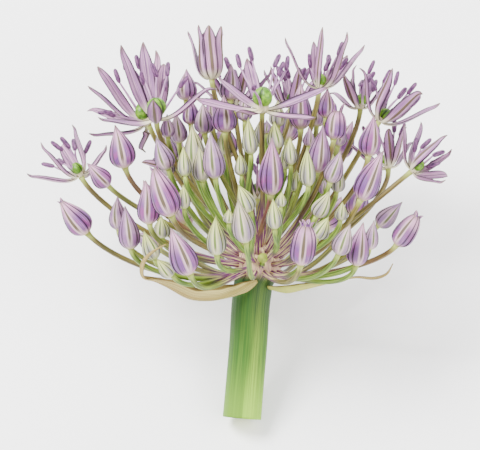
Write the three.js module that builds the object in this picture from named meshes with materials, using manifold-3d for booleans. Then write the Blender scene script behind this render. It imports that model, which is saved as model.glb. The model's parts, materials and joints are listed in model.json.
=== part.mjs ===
// Allium flower head on a short cut stem, lying on its side on a table.
// Millimetres. The table is z = 0. X runs across the head, and the plant's own
// axis rises from the cut end of the stem (-Y) to the open flowers (+Y).
//
// Inside the group the plant stands in its own frame, with the centre of the
// receptacle at the origin: [side, depth, up]. Up runs along the stem, and
// positive depth is the side that lies towards the table.
import * as THREE from "three";
import { mergeVertices } from "three/addons/utils/BufferGeometryUtils.js";
import Module from "manifold-3d";

const wasm = await Module();
wasm.setup();

// How the plant lies: the angle between its axis and the table, and where the
// centre of the receptacle then is.
const AXIS_ANGLE = 34;
const RECEPTACLE_AT = { x: 5.55, y: -12.2, z: 30.3145 };

// Stem and receptacle
const RECEPTACLE_RADIUS = 6.9;
const STEM_SIDES = 20;
// [side, depth, up, radius] from the cut end to the neck below the receptacle
const STEM_STATIONS = [
  [-4.8, 0, -45.6, 5.8],
  [-3.9, 0, -35, 5.75],
  [-2.9, 0, -23, 5.75],
  [-2.2, 0, -12, 5.8],
  [-1.4, 0, -5.2, 5.9],
];
// Angles above the equator of the receptacle's dome where its rings lie
const DOME_LATITUDES = [-24, 4, 30, 54, 74];

// Pedicels
const PEDICEL_SIDES = 6;
const PEDICEL_SEGMENTS = 5;
const PEDICEL_RADIUS = 0.78;
const PEDICEL_FOOT_RADIUS = 0.85;
const FLOWER_SEAT_RADIUS = 0.85;
// A bud's seat is this part of the bud's width, up to this radius
const BUD_SEAT_PART = 0.18;
const MOST_BUD_SEAT = 0.8;
const SEAT_GAP = 0.3;
const FOOT_DROOP = 14;
const LOWEST_FOOT = -17;
const SPREAD_ROUNDS = 60;
const SPREAD_STEP = 0.004;
const SPREAD_RANGE = 0.8;
const SPREAD_LIMIT = 12;
const LEAVE_REACH = 0.38;
// Stalks that bend up sooner
const SHORT_LEAVE = { flower_far_right: 0.16, bud_far_right: 0.2 };
const ARRIVE_REACH = 0.2;

// Outline of a closed bud: part of its length, part of its half width
const BUD_OUTLINE = [
  [0.1, 0.64],
  [0.31, 1.0],
  [0.6, 0.73],
  [0.83, 0.29],
  [1.0, 0],
];

// Open flowers
const TEPAL_LENGTH = 17.5;
const TEPAL_WIDTH = 3.9;
const TEPAL_THICKNESS = 0.55;
const TEPAL_STATIONS = [0, 0.16, 0.42, 0.78, 1];
const TEPAL_WIDTHS = [0.3, 0.6, 1, 0.8, 0];
const FILAMENT_LENGTH = 11.5;
const FILAMENT_RADIUS = 0.36;
const ANTHER_LENGTH = 4.8;
const ANTHER_RADIUS = 0.8;
const STAMEN_SPREAD = 36;
// The widest part of an anther, as a part of its length from its outer end
const ANTHER_BELLY = 0.55;
// Where tepals and stamens start: this far out from the flower's axis, and up
const TEPAL_ROOT = { out: 0.9, up: 0.5 };
const STAMEN_ROOT = { out: 1.0, up: 1.4 };
// A tepal's blade bulges towards its back. In a flower that opens less than
// this it bulges more, and flares at its tip.
const STRAIGHT_OPENING = 66;
const OPENING_RANGE = 50;
const TEPAL_BULGE = 0.3;
const CUP_BULGE = 1.3;
const CUP_FLARE = 0.5;
const TEPAL_LEAVE_REACH = 0.35;
const TEPAL_ARRIVE_REACH = 0.3;
// The opening from which on the stamens reach their full length
const FULL_STAMEN_OPENING = 49;
// [height over the seat, radius] of the flower's base, ovary and style
const OVARY_OUTLINE = [
  [0.6, 1.5],
  [2.4, 1.9],
  [3.6, 2.7],
  [5.4, 2.4],
  [7.0, 0],
];

// Closed buds and half-grown buds:
// [node, foot of the bud (side, depth, up), its tip (side, depth, up), width].
// Rows that share a node name are stalks that grow from one foot.
const BUDS = [
  ["bud_left_outer", [-39.6, -12, 29.4], [-42.6, -14, 42.0], 8.4],
  ["bud_left_outer", [-44.6, -16, 24.0], [-50.7, -20, 30.6], 6.2],
  ["bud_far_left", [-51.0, -8, 9.9], [-59.3, -10, 20.1], 8.0],
  ["bud_left_low_pair", [-41.7, -5, 10.8], [-42.0, -6, 21.0], 6.0],
  ["bud_left_low_pair", [-37.8, -14, 5.1], [-39.6, -15, 18.0], 6.9],
  ["bud_left_mid", [-32.1, -25, 12.6], [-33.3, -26, 25.5], 7.2],
  ["bud_left_large_pair", [-25.5, -34, 15.0], [-30.9, -36, 30.0], 8.9],
  ["bud_front_left_purple", [-20.1, -38, -2.1], [-25.6, -41, 11.4], 8.6],
  ["bud_left_green_pair", [-30.6, -19, 2.0], [-33.9, -19, 10.6], 5.4],
  ["bud_left_green_pair", [-25.4, -27, -2.7], [-30.0, -29, 2.4], 5.0],
  ["bud_left_behind", [-28.5, -12, 8.4], [-28.8, -13, 15.0], 5.6],
  ["bud_front_white", [-12.2, -35, 3.6], [-12.5, -39, 15.0], 6.3],
  ["bud_front_lavender", [-3.7, -41, 7.2], [-6.0, -45, 20.0], 7.0],
  ["bud_front_green_pair", [4.8, -37, 11.1], [4.2, -39, 20.1], 5.1],
  ["bud_front_green_pair", [6.6, -32, 17.7], [6.9, -33, 22.2], 3.6],
  ["bud_front_right_purple", [12.3, -38, 0.6], [14.1, -41, 13.4], 7.8],
  ["bud_centre_large", [3.6, -26, 21.3], [4.0, -31, 38.0], 8.0],
  ["bud_upper_pale_pair", [-2.1, -20, 33.2], [-2.9, -22, 44.2], 5.0],
  ["bud_upper_pale_pair", [-5.0, -8, 27.0], [-5.5, -8, 34.0], 4.2],
  ["bud_upper_slim_group", [5.4, -17, 34.8], [4.8, -17, 43.2], 5.4],
  ["bud_upper_slim_group", [8.1, -9, 28.8], [8.4, -9, 37.2], 3.9],
  ["bud_upper_slim_group", [2.6, -3, 39.6], [2.6, -3, 43.8], 3.6],
  ["bud_right_white_pair", [9.6, -24, 30.0], [9.4, -25, 38.4], 4.4],
  ["bud_right_white_pair", [14.7, -26, 23.7], [14.4, -29, 35.2], 5.2],
  ["bud_right_lilac_group", [17.4, -18, 27.9], [19.2, -20, 42.0], 7.2],
  ["bud_right_lilac_group", [15.0, -12, 35.7], [15.3, -12, 41.4], 3.9],
  ["bud_right_lilac_group", [11.0, -6, 22.0], [11.5, -6, 29.0], 4.2],
  ["bud_right_pale_pair", [21.2, -24, 24.9], [24.3, -26, 34.2], 6.0],
  ["bud_right_pale_pair", [19.5, -18, 21.3], [19.8, -18, 25.8], 3.6],
  ["bud_right_young_pair", [17.1, -29, 14.8], [21.0, -32, 22.4], 5.4],
  ["bud_right_young_pair", [24.3, -22, 13.5], [24.9, -22, 19.2], 4.2],
  ["bud_centre_young_pair", [-2.4, -32, 16.2], [-6.0, -34, 24.3], 5.7],
  ["bud_centre_young_pair", [-8.7, -29, 12.9], [-8.7, -30, 17.1], 3.9],
  ["bud_left_pale_pair", [-12.6, -26, 26.1], [-14.1, -29, 39.8], 7.0],
  ["bud_left_pale_pair", [-16.6, -17, 25.2], [-17.6, -18, 36.0], 5.8],
  ["bud_left_tall_group", [-18.6, -10, 28.8], [-19.8, -11, 42.3], 7.2],
  ["bud_left_tall_group", [-21.6, -22, 26.7], [-22.2, -22, 35.7], 4.5],
  ["bud_left_tall_group", [-16.0, -2, 26.0], [-17.0, -2, 33.0], 4.5],
  ["bud_left_large_pair", [-21.9, -26, 17.0], [-22.2, -26, 24.3], 4.2],
  ["bud_left_grey_group", [-26.7, -15, 28.8], [-30.3, -16, 38.4], 6.3],
  ["bud_left_grey_group", [-23.7, 4, 36.9], [-24.6, 4, 46.0], 6.0],
  ["bud_left_grey_group", [-26.5, -3, 27.0], [-28.5, -3, 35.0], 4.8],
  ["bud_top_left_pair", [-9.9, -10, 39.9], [-10.2, -10, 51.0], 7.8],
  ["bud_top_left_pair", [-15.9, -2, 39.6], [-16.5, -2, 49.0], 6.6],
  ["bud_top_back_group", [-21.6, 8, 49.8], [-21.6, 9, 59.4], 6.6],
  ["bud_top_back_group", [-8.4, 6, 49.8], [-8.1, 6, 60.9], 6.9],
  ["bud_top_back_group", [-10.0, 4, 33.0], [-10.5, 4, 41.0], 5.1],
  ["bud_right_horned_pair", [22.5, -12, 37.8], [24.0, -12, 48.0], 6.9],
  ["bud_right_horned_pair", [21.0, -5, 28.0], [22.0, -5, 35.0], 4.8],
  ["bud_right_behind_group", [17.7, 12, 42.0], [17.7, 13, 49.0], 6.0],
  ["bud_right_behind_group", [12.9, 5, 41.1], [12.9, 6, 55.5], 7.5],
  ["bud_right_behind_group", [24.0, 5, 36.0], [25.0, 5, 44.0], 5.4],
  ["bud_right_dark_pair", [32.9, -8, 32.9], [34.5, -8, 45.0], 7.2],
  ["bud_right_dark_pair", [23.4, -12, 22.0], [24.6, -13, 30.0], 4.8],
  ["bud_right_tall", [30.3, -22, 19.8], [36.9, -25, 34.2], 8.0],
  ["bud_right_outer_pale", [35.7, -9, 12.0], [43.0, -10, 19.2], 5.9],
  ["bud_far_right", [41.1, -14, 6.3], [47.7, -16, 15.8], 6.9],
  ["bud_right_low_pair", [28.8, -25, 0.3], [31.0, -27, 13.1], 7.2],
  ["bud_right_low_pair", [33.0, -17, 5.0], [34.4, -18, 13.8], 4.8],
  ["bud_right_grey_pair", [23.4, -33, 3.6], [27.0, -35, 12.6], 6.3],
  ["bud_right_grey_pair", [17.4, -31, 8.4], [20.7, -33, 14.7], 5.4],
  ["bud_rudiment", [1.3, -9.4, 2.4], [1.4, -12.2, 2.4], 3.2],
  ["bud_rest_left", [-22.0, 37.94, 12.0], [-28.0, 49.94, 21.0], 7.8],
  ["bud_rest_right", [20.0, 37.885, 12.0], [26.0, 49.885, 21.0], 7.8],
  ["bud_back_left_pair", [-31.0, 26, 16.0], [-35.0, 33, 26.0], 7.2],
  ["bud_back_left_pair", [-30.0, 21, 5.0], [-37.0, 29, 10.0], 6.6],
  ["bud_back_right_pair", [29.0, 24, 15.0], [33.0, 31, 25.0], 7.2],
  ["bud_back_right_pair", [29.0, 19, 3.5], [34.5, 27, 8.0], 6.0],
  ["bud_back_centre_pair", [-9.0, 28, 33.0], [-11.0, 33, 45.0], 7.5],
  ["bud_back_centre_pair", [-26.0, 21, 31.0], [-29.0, 25, 41.0], 6.0],
  ["bud_back_upper_group", [9.0, 27, 38.0], [11.0, 32, 50.0], 7.2],
  ["bud_back_upper_group", [1.0, 20, 36.0], [1.0, 23, 45.0], 5.4],
  ["bud_back_upper_group", [6.0, 9, 42.0], [6.0, 9, 50.0], 5.4],
  ["bud_back_high_pair", [24.0, 22, 33.0], [29.0, 27, 44.0], 7.5],
  ["bud_back_high_pair", [17.0, 29, 27.0], [21.0, 36, 36.0], 5.7],
  ["bud_back_low_pair", [-12.0, 31, 4.0], [-15.0, 41, 11.0], 6.0],
  ["bud_back_low_pair", [-20.0, 28, 2.0], [-27.0, 35, 7.0], 5.1],
  ["bud_back_small_pair", [11.0, 31, 4.0], [14.0, 40, 10.0], 6.0],
  ["bud_back_small_pair", [3.0, 30, 3.0], [4.0, 39, 9.0], 5.4],
  ["flower_left_front", [-27.0, -4, 38.5], [-27.2, -4, 45.5], 4.6],
  ["flower_top_right", [20.5, 3, 44.5], [21.0, 3, 53.5], 6.2],
  ["flower_back_upper", [-4.0, 4, 43.5], [-4.1, 4, 51.5], 5.2],
  ["flower_left_facing", [-20.2, 4, 42.5], [-20.6, 4, 51.0], 5.4],
  ["flower_back_upper", [-13.8, 8, 43.0], [-14.1, 8, 51.5], 5.2],
];

// Open and half-open flowers:
// [node, seat of the tepals (side, depth, up), the way the flower faces,
//  spin of its tepals in degrees, how far they open from the axis in degrees,
//  size, size of its ovary].
// Rows that share a node name are stalks that grow from one foot.
const FLOWERS = [
  ["flower_left_facing", [-33.0, 7, 42.6], [-0.4, -0.2, 0.9], 10, 52, 1.1, 1.0],
  ["flower_left_front", [-30.3, -10, 43.2], [0.0, -0.45, 0.9], 40, 50, 1.15, 1.1],
  ["flower_far_left", [-53.1, 1, 26.7], [-0.45, -0.25, 0.85], 5, 46, 0.95, 0.7],
  ["flower_top_left_goblet", [-13.9, -1, 55.8], [-0.1, 0, 1], 15, 16, 1.27, 0.75],
  ["flower_centre", [1.2, -17, 45.9], [0.05, -0.42, 0.9], 12, 66, 1.12, 1.15],
  ["flower_top_right", [18.3, -5, 52.8], [0.12, -0.1, 1], 25, 42, 1.05, 0.7],
  ["flower_right_upper", [36.3, -1, 43.2], [0.6, -0.15, 0.75], 5, 44, 1.05, 0.7],
  ["flower_right_behind", [30.9, 10, 47.1], [0.08, 0.15, 1], 0, 50, 0.9, 0.7],
  ["flower_far_right", [45.6, -8, 28.2], [0.76, -0.16, 0.62], 22, 48, 0.9, 0.7],
  ["flower_right_back", [39.3, 9, 29.1], [-0.12, 0.24, 0.95], 10, 50, 0.88, 0.7],
  ["flower_back_upper", [-7.0, 16, 48.0], [-0.05, 0.2, 0.95], 20, 52, 0.9, 0.8],
  ["flower_back_upper", [10.0, 18, 47.5], [0.08, 0.1, 1], 10, 42, 0.85, 0.7],
  ["flower_back_left", [-21.0, 31, 29.0], [-0.35, 0.7, 0.6], 0, 60, 0.84, 0.9],
  ["flower_rest_middle", [0.0, 36, 20.0], [0.0, 0.35, 0.95], 30, 50, 0.86, 0.8],
];

// Tepals that are rolled lengthwise: their numbers in the table of tips below,
// counted from 0
const ROLLED_TEPALS = { flower_top_right: [1] };
const ROLLED_WIDTH = 0.55;

// Tips of the tepals and outer ends of the anthers (side, depth, up) of the
// flowers that the photograph shows. The others have them evenly round.
const TEPAL_TIPS = {
  "flower_left_facing": [
    [-48.6, 8, 59.8],
    [-51.3, 1, 53.7],
    [-51.6, 14, 47.7],
    [-50.4, 0, 38.7],
    [-35.0, 20, 35.0],
    [-29.7, 13, 64.5],
  ],
  "flower_left_front": [
    [-30.9, -29, 48.3],
    [-13.2, -16, 53.7],
    [-28.0, 3, 61.0],
    [-34.6, -5, 66.4],
    [-41.8, -9, 65.2],
    [-47.4, -17, 43.2],
  ],
  "flower_far_left": [
    [-54.9, 0, 42.4],
    [-65.4, -6, 36.0],
    [-69.3, -2, 26.7],
    [-45.0, 3, 35.4],
    [-60.0, 14, 37.0],
    [-49.0, 15, 30.0],
  ],
  "flower_top_left_goblet": [
    [-14.7, -5, 71.7],
    [-18.4, -3, 71.6],
    [-21.4, 0.5, 70.0],
    [-10.4, -2.4, 71.4],
    [-16.0, 5, 70.5],
    [-11.2, 4, 70.5],
  ],
  "flower_centre": [
    [-18.6, -18, 49.3],
    [-12.0, -7, 56.1],
    [-6.3, -34, 45.9],
    [16.8, -29, 43.5],
    [20.7, -18, 52.8],
    [-3.6, -4, 61.5],
  ],
  "flower_top_right": [
    [7.5, -8, 67.5],
    [18.9, -12, 70.8],
    [16.6, 4, 67.2],
    [27.6, -10, 68.8],
    [32.4, -3, 65.4],
    [27.0, 8, 62.4],
  ],
  "flower_right_upper": [
    [31.2, -7, 59.7],
    [39.6, -10, 59.1],
    [49.2, -10, 52.5],
    [54.6, -3, 47.7],
    [48.0, 12, 50.0],
    [39.0, 12, 56.0],
  ],
  "flower_right_behind": [
    [25.8, 2, 56.7],
    [28.6, 12, 60.3],
    [34.0, 20, 58.5],
    [38.5, 13, 55.0],
    [31.0, 25, 52.0],
    [22.0, 17, 53.0],
  ],
  "flower_far_right": [
    [43.2, -10, 42.0],
    [49.2, -3, 43.2],
    [55.2, -14, 39.3],
    [58.2, -8, 33.6],
    [57.3, 1, 27.3],
    [54.9, -15, 24.6],
  ],
  "flower_right_back": [
    [26.4, 13, 37.5],
    [39.5, 7, 41.6],
    [44.4, 6, 42.2],
    [47.0, 16, 38.0],
    [41.0, 23, 36.0],
    [31.0, 20, 35.0],
  ],
};
const ANTHER_ENDS = {
  "flower_left_facing": [
    [-44.4, 6, 59.5],
    [-48.6, 3, 47.7],
    [-46.8, -4, 45.6],
    [-41.8, 5, 63.6],
    [-36.6, 9, 60.0],
    [-33.0, 16, 56.0],
  ],
  "flower_left_front": [
    [-37.0, -4, 63.6],
    [-35.4, -16, 58.6],
    [-30.3, -8, 61.5],
    [-26.1, -5, 61.5],
    [-20.7, -15, 57.2],
    [-27.0, -1, 57.0],
  ],
  "flower_far_left": [
    [-58.5, 0, 39.9],
    [-61.2, -4, 38.7],
    [-66.0, 2, 31.5],
    [-56.0, 8, 39.0],
    [-51.0, 5, 38.5],
    [-62.0, 8, 33.0],
  ],
  "flower_centre": [
    [-7.5, -11, 63.4],
    [-2.7, -13, 66.0],
    [6.0, -12, 64.0],
    [7.6, -20, 61.4],
    [10.8, -17, 62.6],
    [-2.4, -32, 54.6],
  ],
  "flower_top_right": [
    [26.0, -5, 67.6],
    [27.6, -1, 62.4],
    [21.0, -4, 63.4],
    [14.0, -7, 64.0],
    [17.6, 0, 64.6],
    [22.6, 2, 64.6],
  ],
  "flower_right_upper": [
    [43.0, -3, 58.8],
    [38.4, -1, 60.0],
    [48.0, -3, 55.4],
    [50.4, 1, 50.4],
    [34.8, 2, 57.6],
    [45.0, 5, 54.0],
  ],
  "flower_right_behind": [
    [33.6, 9, 60.0],
    [34.2, 12, 63.0],
    [28.0, 14, 57.0],
    [31.0, 20, 58.0],
    [37.0, 18, 56.0],
    [26.0, 18, 54.0],
  ],
  "flower_far_right": [
    [50.7, -5, 39.6],
    [56.1, -3, 35.8],
    [52.0, -9, 37.4],
    [47.4, -6, 39.0],
    [55.0, -9, 31.6],
    [55.2, 1, 32.0],
  ],
};

// Papery bracts. Each station: [side, depth, up], half width, how far the
// middle of the blade hollows, and the way the hollow faces.
const BRACTS = {
  spathe_bract_left: [
    [[-0.3, -6.55, -4.5], 0.5, 0.1, [0.1, 1, 0.4]],
    [[-2.6, -7.5, -5.9], 1.6, 0.6, [0.15, 0.9, 0.5]],
    [[-6.2, -8.7, -8.0], 2.6, 1.8, [0.2, 0.6, 0.8]],
    [[-10.4, -9.8, -9.4], 3.4, 3.2, [0.2, 0.3, 1]],
    [[-14.8, -11.7, -10.0], 4.0, 3.7, [0.1, 0.2, 1]],
    [[-20.4, -13.8, -9.4], 3.8, 2.7, [0.1, 0.2, 1]],
    [[-26.4, -16.8, -6.2], 3.0, 2.4, [0.2, 0.1, 1]],
    [[-30.6, -20.0, -4.2], 1.5, 1.0, [0.3, 0, 1]],
    [[-34.0, -22.4, -3.2], 1.1, 0.4, [0.9, 0.2, 0.4]],
    [[-34.6, -23.4, -0.4], 1.1, 0.3, [0.8, 0.6, 0.1]],
    [[-33.2, -24.0, 2.6], 0.8, 0.15, [0.6, 0.7, -0.4]],
    [[-30.4, -24.4, 4.9], 0.45, 0.1, [0.5, 0.6, -0.6]],
    [[-27.2, -24.6, 6.6], 0.25, 0.05, [0.5, 0.4, -0.8]],
  ],
  spathe_bract_right: [
    [[3.3, -3.9, -6.6], 1.7, 0.6, [-0.3, 0.3, 1]],
    [[8.4, -6.4, -7.7], 2.6, 1.6, [-0.1, 0.2, 1]],
    [[13.2, -6.2, -6.8], 2.4, 1.4, [0, 0.2, 1]],
    [[18.4, -4.2, -5.6], 1.7, 0.9, [-0.2, 0.1, 1]],
    [[23.8, -2.2, -4.3], 1.2, 0.5, [-0.4, 0, 1]],
    [[29.4, -1.6, -3.3], 0.9, 0.2, [0, 0.2, 1]],
    [[34.6, -1.4, -3.7], 0.9, 0.2, [0, 0.5, 1]],
    [[38.4, -1.6, -2.4], 0.7, 0.1, [-0.5, 0.5, 0.8]],
    [[40.4, -1.8, 0.8], 0.25, 0.05, [-1, 0.3, 0.2]],
  ],
  spathe_bract_back: [
    [[0.4, 6.15, -5.8], 2.0, 0.5, [0, 0.3, 1]],
    [[0.8, 10.4, -8.4], 2.6, 1.0, [0, 0.3, 1]],
    [[1.4, 15.4, -10.0], 2.6, 1.2, [0, 0.2, 1]],
    [[2.0, 19.6, -9.4], 1.7, 0.8, [0, -0.1, 1]],
    [[2.6, 23.4, -7.6], 0.5, 0.2, [0, -0.3, 1]],
  ],
};
const BRACT_THICKNESS = 0.5;

const rad = (degrees) => (degrees * Math.PI) / 180;
const vec = (a) => new THREE.Vector3(a[0], a[1], a[2]);

// A unit vector square to `along`, on the side of `near`.
function squareTo(along, near) {
  return near.clone().addScaledVector(along, -near.dot(along)).normalize();
}

// A closed skin over rings of equal size. A ring of one point is a tip.
function loft(rings) {
  const points = [];
  const faces = [];
  const starts = rings.map((ring) => {
    const start = points.length;
    points.push(...ring);
    return start;
  });
  const count = Math.max(...rings.map((ring) => ring.length));
  for (let r = 0; r + 1 < rings.length; r += 1) {
    const low = starts[r];
    const high = starts[r + 1];
    for (let i = 0; i < count; i += 1) {
      const j = (i + 1) % count;
      if (rings[r + 1].length === 1) {
        faces.push(low + i, low + j, high);
      } else {
        faces.push(low + i, low + j, high + j);
        faces.push(low + i, high + j, high + i);
      }
    }
  }
  for (let i = 1; i + 1 < count; i += 1) {
    faces.push(0, i + 1, i);
  }
  const last = rings[rings.length - 1];
  if (last.length > 1) {
    const top = starts[rings.length - 1];
    for (let i = 1; i + 1 < count; i += 1) {
      faces.push(top, top + i, top + i + 1);
    }
  }
  const made = new wasm.Manifold(
    new wasm.Mesh({
      numProp: 3,
      vertProperties: new Float32Array(points.flatMap((p) => [p.x, p.y, p.z])),
      triVerts: new Uint32Array(faces),
    }),
  );
  return made;
}

// A ring of `sides` points round `centre`, square to `along`.
function ringAt(centre, along, across, radius, sides) {
  if (radius === 0) {
    return [centre.clone()];
  }
  const other = new THREE.Vector3().crossVectors(along, across);
  return Array.from({ length: sides }, (_, i) => {
    const turn = (i * 2 * Math.PI) / sides;
    return centre
      .clone()
      .addScaledVector(across, radius * Math.cos(turn))
      .addScaledVector(other, radius * Math.sin(turn));
  });
}

function bezier(p0, p1, p2, p3, t) {
  const s = 1 - t;
  return new THREE.Vector3()
    .addScaledVector(p0, s * s * s)
    .addScaledVector(p1, 3 * s * s * t)
    .addScaledVector(p2, 3 * s * t * t)
    .addScaledVector(p3, t * t * t);
}

// Spreads the feet of the pedicels over the receptacle: each starts on its own
// flower's side and is pushed away from its neighbours.
function spreadFeet(seats) {
  const feet = seats.map((seat) => {
    const reach = Math.hypot(seat.x, seat.y);
    const rise = Math.atan2(seat.z, reach);
    const droop = rad(FOOT_DROOP) * (1 - rise / (Math.PI / 2));
    const low = rise - droop;
    return new THREE.Vector3(
      (seat.x / reach) * Math.cos(low),
      (seat.y / reach) * Math.cos(low),
      Math.sin(low),
    );
  });
  const lowest = Math.sin(rad(LOWEST_FOOT));
  for (let round = 0; round < SPREAD_ROUNDS; round += 1) {
    const pushes = feet.map((foot) => {
      const push = new THREE.Vector3();
      for (const other of feet) {
        const gap = foot.clone().sub(other);
        const near = gap.lengthSq();
        if (near > 0 && near < SPREAD_RANGE) {
          push.addScaledVector(gap, 1 / (near * near + 0.002));
        }
      }
      return push;
    });
    feet.forEach((foot, i) => {
      const size = pushes[i].length();
      const most = Math.min(1, SPREAD_LIMIT / (size + 0.001));
      foot.addScaledVector(pushes[i], SPREAD_STEP * most);
      foot.normalize();
      if (foot.z < lowest) {
        foot.z = lowest;
        foot.normalize();
      }
    });
  }
  return feet;
}

// The rings of a pedicel from its foot to the seat of the flower, and the
// sideways direction that the flower's own rings go on with.
function pedicelRings(name, foot, seat, axis, endRadius) {
  const p0 = foot.clone().multiplyScalar(RECEPTACLE_RADIUS + SEAT_GAP);
  const reach = p0.distanceTo(seat);
  const leave = SHORT_LEAVE[name] ?? LEAVE_REACH;
  const p1 = p0.clone().addScaledVector(foot, leave * reach);
  const p2 = seat.clone().addScaledVector(axis, -ARRIVE_REACH * reach);
  const centres = [];
  for (let i = 0; i <= PEDICEL_SEGMENTS; i += 1) {
    centres.push(bezier(p0, p1, p2, seat, i / PEDICEL_SEGMENTS));
  }
  const rings = [];
  let across = squareTo(foot, new THREE.Vector3(0.31, 0.17, 0.93));
  for (let i = 0; i <= PEDICEL_SEGMENTS; i += 1) {
    const along = new THREE.Vector3();
    if (i === 0) {
      along.copy(foot);
    } else if (i === PEDICEL_SEGMENTS) {
      along.copy(axis);
    } else {
      along.subVectors(centres[i + 1], centres[i - 1]).normalize();
    }
    across = squareTo(along, across);
    let radius = PEDICEL_RADIUS;
    if (i === 0) {
      radius = PEDICEL_FOOT_RADIUS;
    } else if (i === PEDICEL_SEGMENTS) {
      radius = endRadius;
    }
    rings.push(ringAt(centres[i], along, across, radius, PEDICEL_SIDES));
  }
  return { rings, across };
}

function budSolid(name, foot, seat, tip, width) {
  const axis = tip.clone().sub(seat);
  const length = axis.length();
  axis.normalize();
  const endRadius = Math.min(MOST_BUD_SEAT, width * BUD_SEAT_PART);
  const { rings, across } = pedicelRings(name, foot, seat, axis, endRadius);
  for (const [part, wide] of BUD_OUTLINE) {
    const centre = seat.clone().addScaledVector(axis, part * length);
    const radius = (wide * width) / 2;
    rings.push(ringAt(centre, axis, across, radius, PEDICEL_SIDES));
  }
  return loft(rings);
}

// A tepal: a thin blade, keeled on its back, from the flower's base to its tip.
function tepalSolid(seat, axis, tip, opening, width) {
  const outward = squareTo(axis, tip.clone().sub(seat));
  const p0 = seat
    .clone()
    .addScaledVector(outward, TEPAL_ROOT.out)
    .addScaledVector(axis, TEPAL_ROOT.up);
  const straight = tip.clone().sub(p0);
  const reach = straight.length();
  straight.normalize();
  const closed = (STRAIGHT_OPENING - opening) / OPENING_RANGE;
  const below = squareTo(straight, outward.clone().sub(axis));
  const leave = straight
    .clone()
    .addScaledVector(below, TEPAL_BULGE + CUP_BULGE * closed)
    .normalize();
  const arrive = straight
    .clone()
    .addScaledVector(below, CUP_FLARE * closed)
    .normalize();
  const p1 = p0.clone().addScaledVector(leave, TEPAL_LEAVE_REACH * reach);
  const p2 = tip.clone().addScaledVector(arrive, -TEPAL_ARRIVE_REACH * reach);
  const rings = TEPAL_STATIONS.map((t, i) => {
    const centre = bezier(p0, p1, p2, tip, t);
    if (TEPAL_WIDTHS[i] === 0) {
      return [centre];
    }
    const along = bezier(p0, p1, p2, tip, t + 0.02)
      .sub(bezier(p0, p1, p2, tip, t - 0.02))
      .normalize();
    const back = squareTo(along, outward.clone().sub(axis));
    const side = new THREE.Vector3().crossVectors(along, back);
    const half = (TEPAL_WIDTHS[i] * width) / 2;
    return [
      centre.clone().addScaledVector(side, half),
      centre.clone().addScaledVector(side, -half),
      centre.clone().addScaledVector(back, TEPAL_THICKNESS),
    ];
  });
  return loft(rings);
}

// A stamen from inside the flower's base to the outer end of its anther.
function stamenSolid(seat, axis, end) {
  const outward = squareTo(axis, end.clone().sub(seat));
  const start = seat
    .clone()
    .addScaledVector(axis, STAMEN_ROOT.up)
    .addScaledVector(outward, STAMEN_ROOT.out);
  const along = end.clone().sub(start);
  const reach = along.length();
  along.normalize();
  const side = new THREE.Vector3().crossVectors(along, outward).normalize();
  const at = (distance, radius) =>
    ringAt(
      start.clone().addScaledVector(along, distance),
      along,
      side,
      radius,
      3,
    );
  return loft([
    at(0, FILAMENT_RADIUS),
    at(reach - ANTHER_LENGTH, FILAMENT_RADIUS),
    at(reach - ANTHER_LENGTH * ANTHER_BELLY, ANTHER_RADIUS),
    at(reach, 0),
  ]);
}

// Points evenly round the flower's axis, each `length` from the seat.
function evenlyRound(seat, axis, spin, opening, length) {
  const first = squareTo(axis, new THREE.Vector3(0, -1, 0.001));
  return Array.from({ length: 6 }, (_, i) => {
    const outward = first.clone().applyAxisAngle(axis, rad(spin + i * 60));
    return seat
      .clone()
      .addScaledVector(axis, length * Math.cos(rad(opening)))
      .addScaledVector(outward, length * Math.sin(rad(opening)));
  });
}

function flowerSolid(name, foot, seat, facing, spin, opening, size, grown) {
  const axis = facing.clone().normalize();
  const { rings, across } = pedicelRings(
    name,
    foot,
    seat,
    axis,
    FLOWER_SEAT_RADIUS,
  );
  for (const [height, radius] of OVARY_OUTLINE) {
    const centre = seat.clone().addScaledVector(axis, height * grown);
    rings.push(ringAt(centre, axis, across, radius * grown, PEDICEL_SIDES));
  }
  const solids = [loft(rings)];
  const tips = TEPAL_TIPS[name]
    ? TEPAL_TIPS[name].map(vec)
    : evenlyRound(seat, axis, spin, opening, TEPAL_LENGTH * size);
  const lean = Math.min(STAMEN_SPREAD, opening / 2);
  const shown = Math.min(1, opening / FULL_STAMEN_OPENING);
  const stamen = STAMEN_ROOT.up + FILAMENT_LENGTH * size * shown;
  const ends = ANTHER_ENDS[name]
    ? ANTHER_ENDS[name].map(vec)
    : evenlyRound(seat, axis, spin + 30, lean, stamen + ANTHER_LENGTH);
  const rolled = ROLLED_TEPALS[name] ?? [];
  tips.forEach((tip, i) => {
    const width = TEPAL_WIDTH * size * (rolled.includes(i) ? ROLLED_WIDTH : 1);
    solids.push(tepalSolid(seat, axis, tip, opening, width));
  });
  for (const end of ends) {
    solids.push(stamenSolid(seat, axis, end));
  }
  return wasm.Manifold.union(solids);
}

function bractSolid(stations) {
  const rings = stations.map(([at, half, hollow, facing], i) => {
    const centre = vec(at);
    const before = vec(stations[Math.max(0, i - 1)][0]);
    const after = vec(stations[Math.min(stations.length - 1, i + 1)][0]);
    const along = after.sub(before).normalize();
    const face = squareTo(along, vec(facing));
    const side = new THREE.Vector3().crossVectors(face, along);
    const place = (across, depth) =>
      centre
        .clone()
        .addScaledVector(side, across * half)
        .addScaledVector(face, depth);
    const skin = Math.min(BRACT_THICKNESS, half * 0.8);
    return [
      place(-1, hollow),
      place(-0.55, -skin + hollow * 0.2),
      place(0, -skin - hollow * 0.1),
      place(0.55, -skin + hollow * 0.2),
      place(1, hollow),
      place(0.5, hollow * 0.25),
      place(0, 0),
      place(-0.5, hollow * 0.25),
    ];
  });
  return loft(rings);
}

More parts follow.
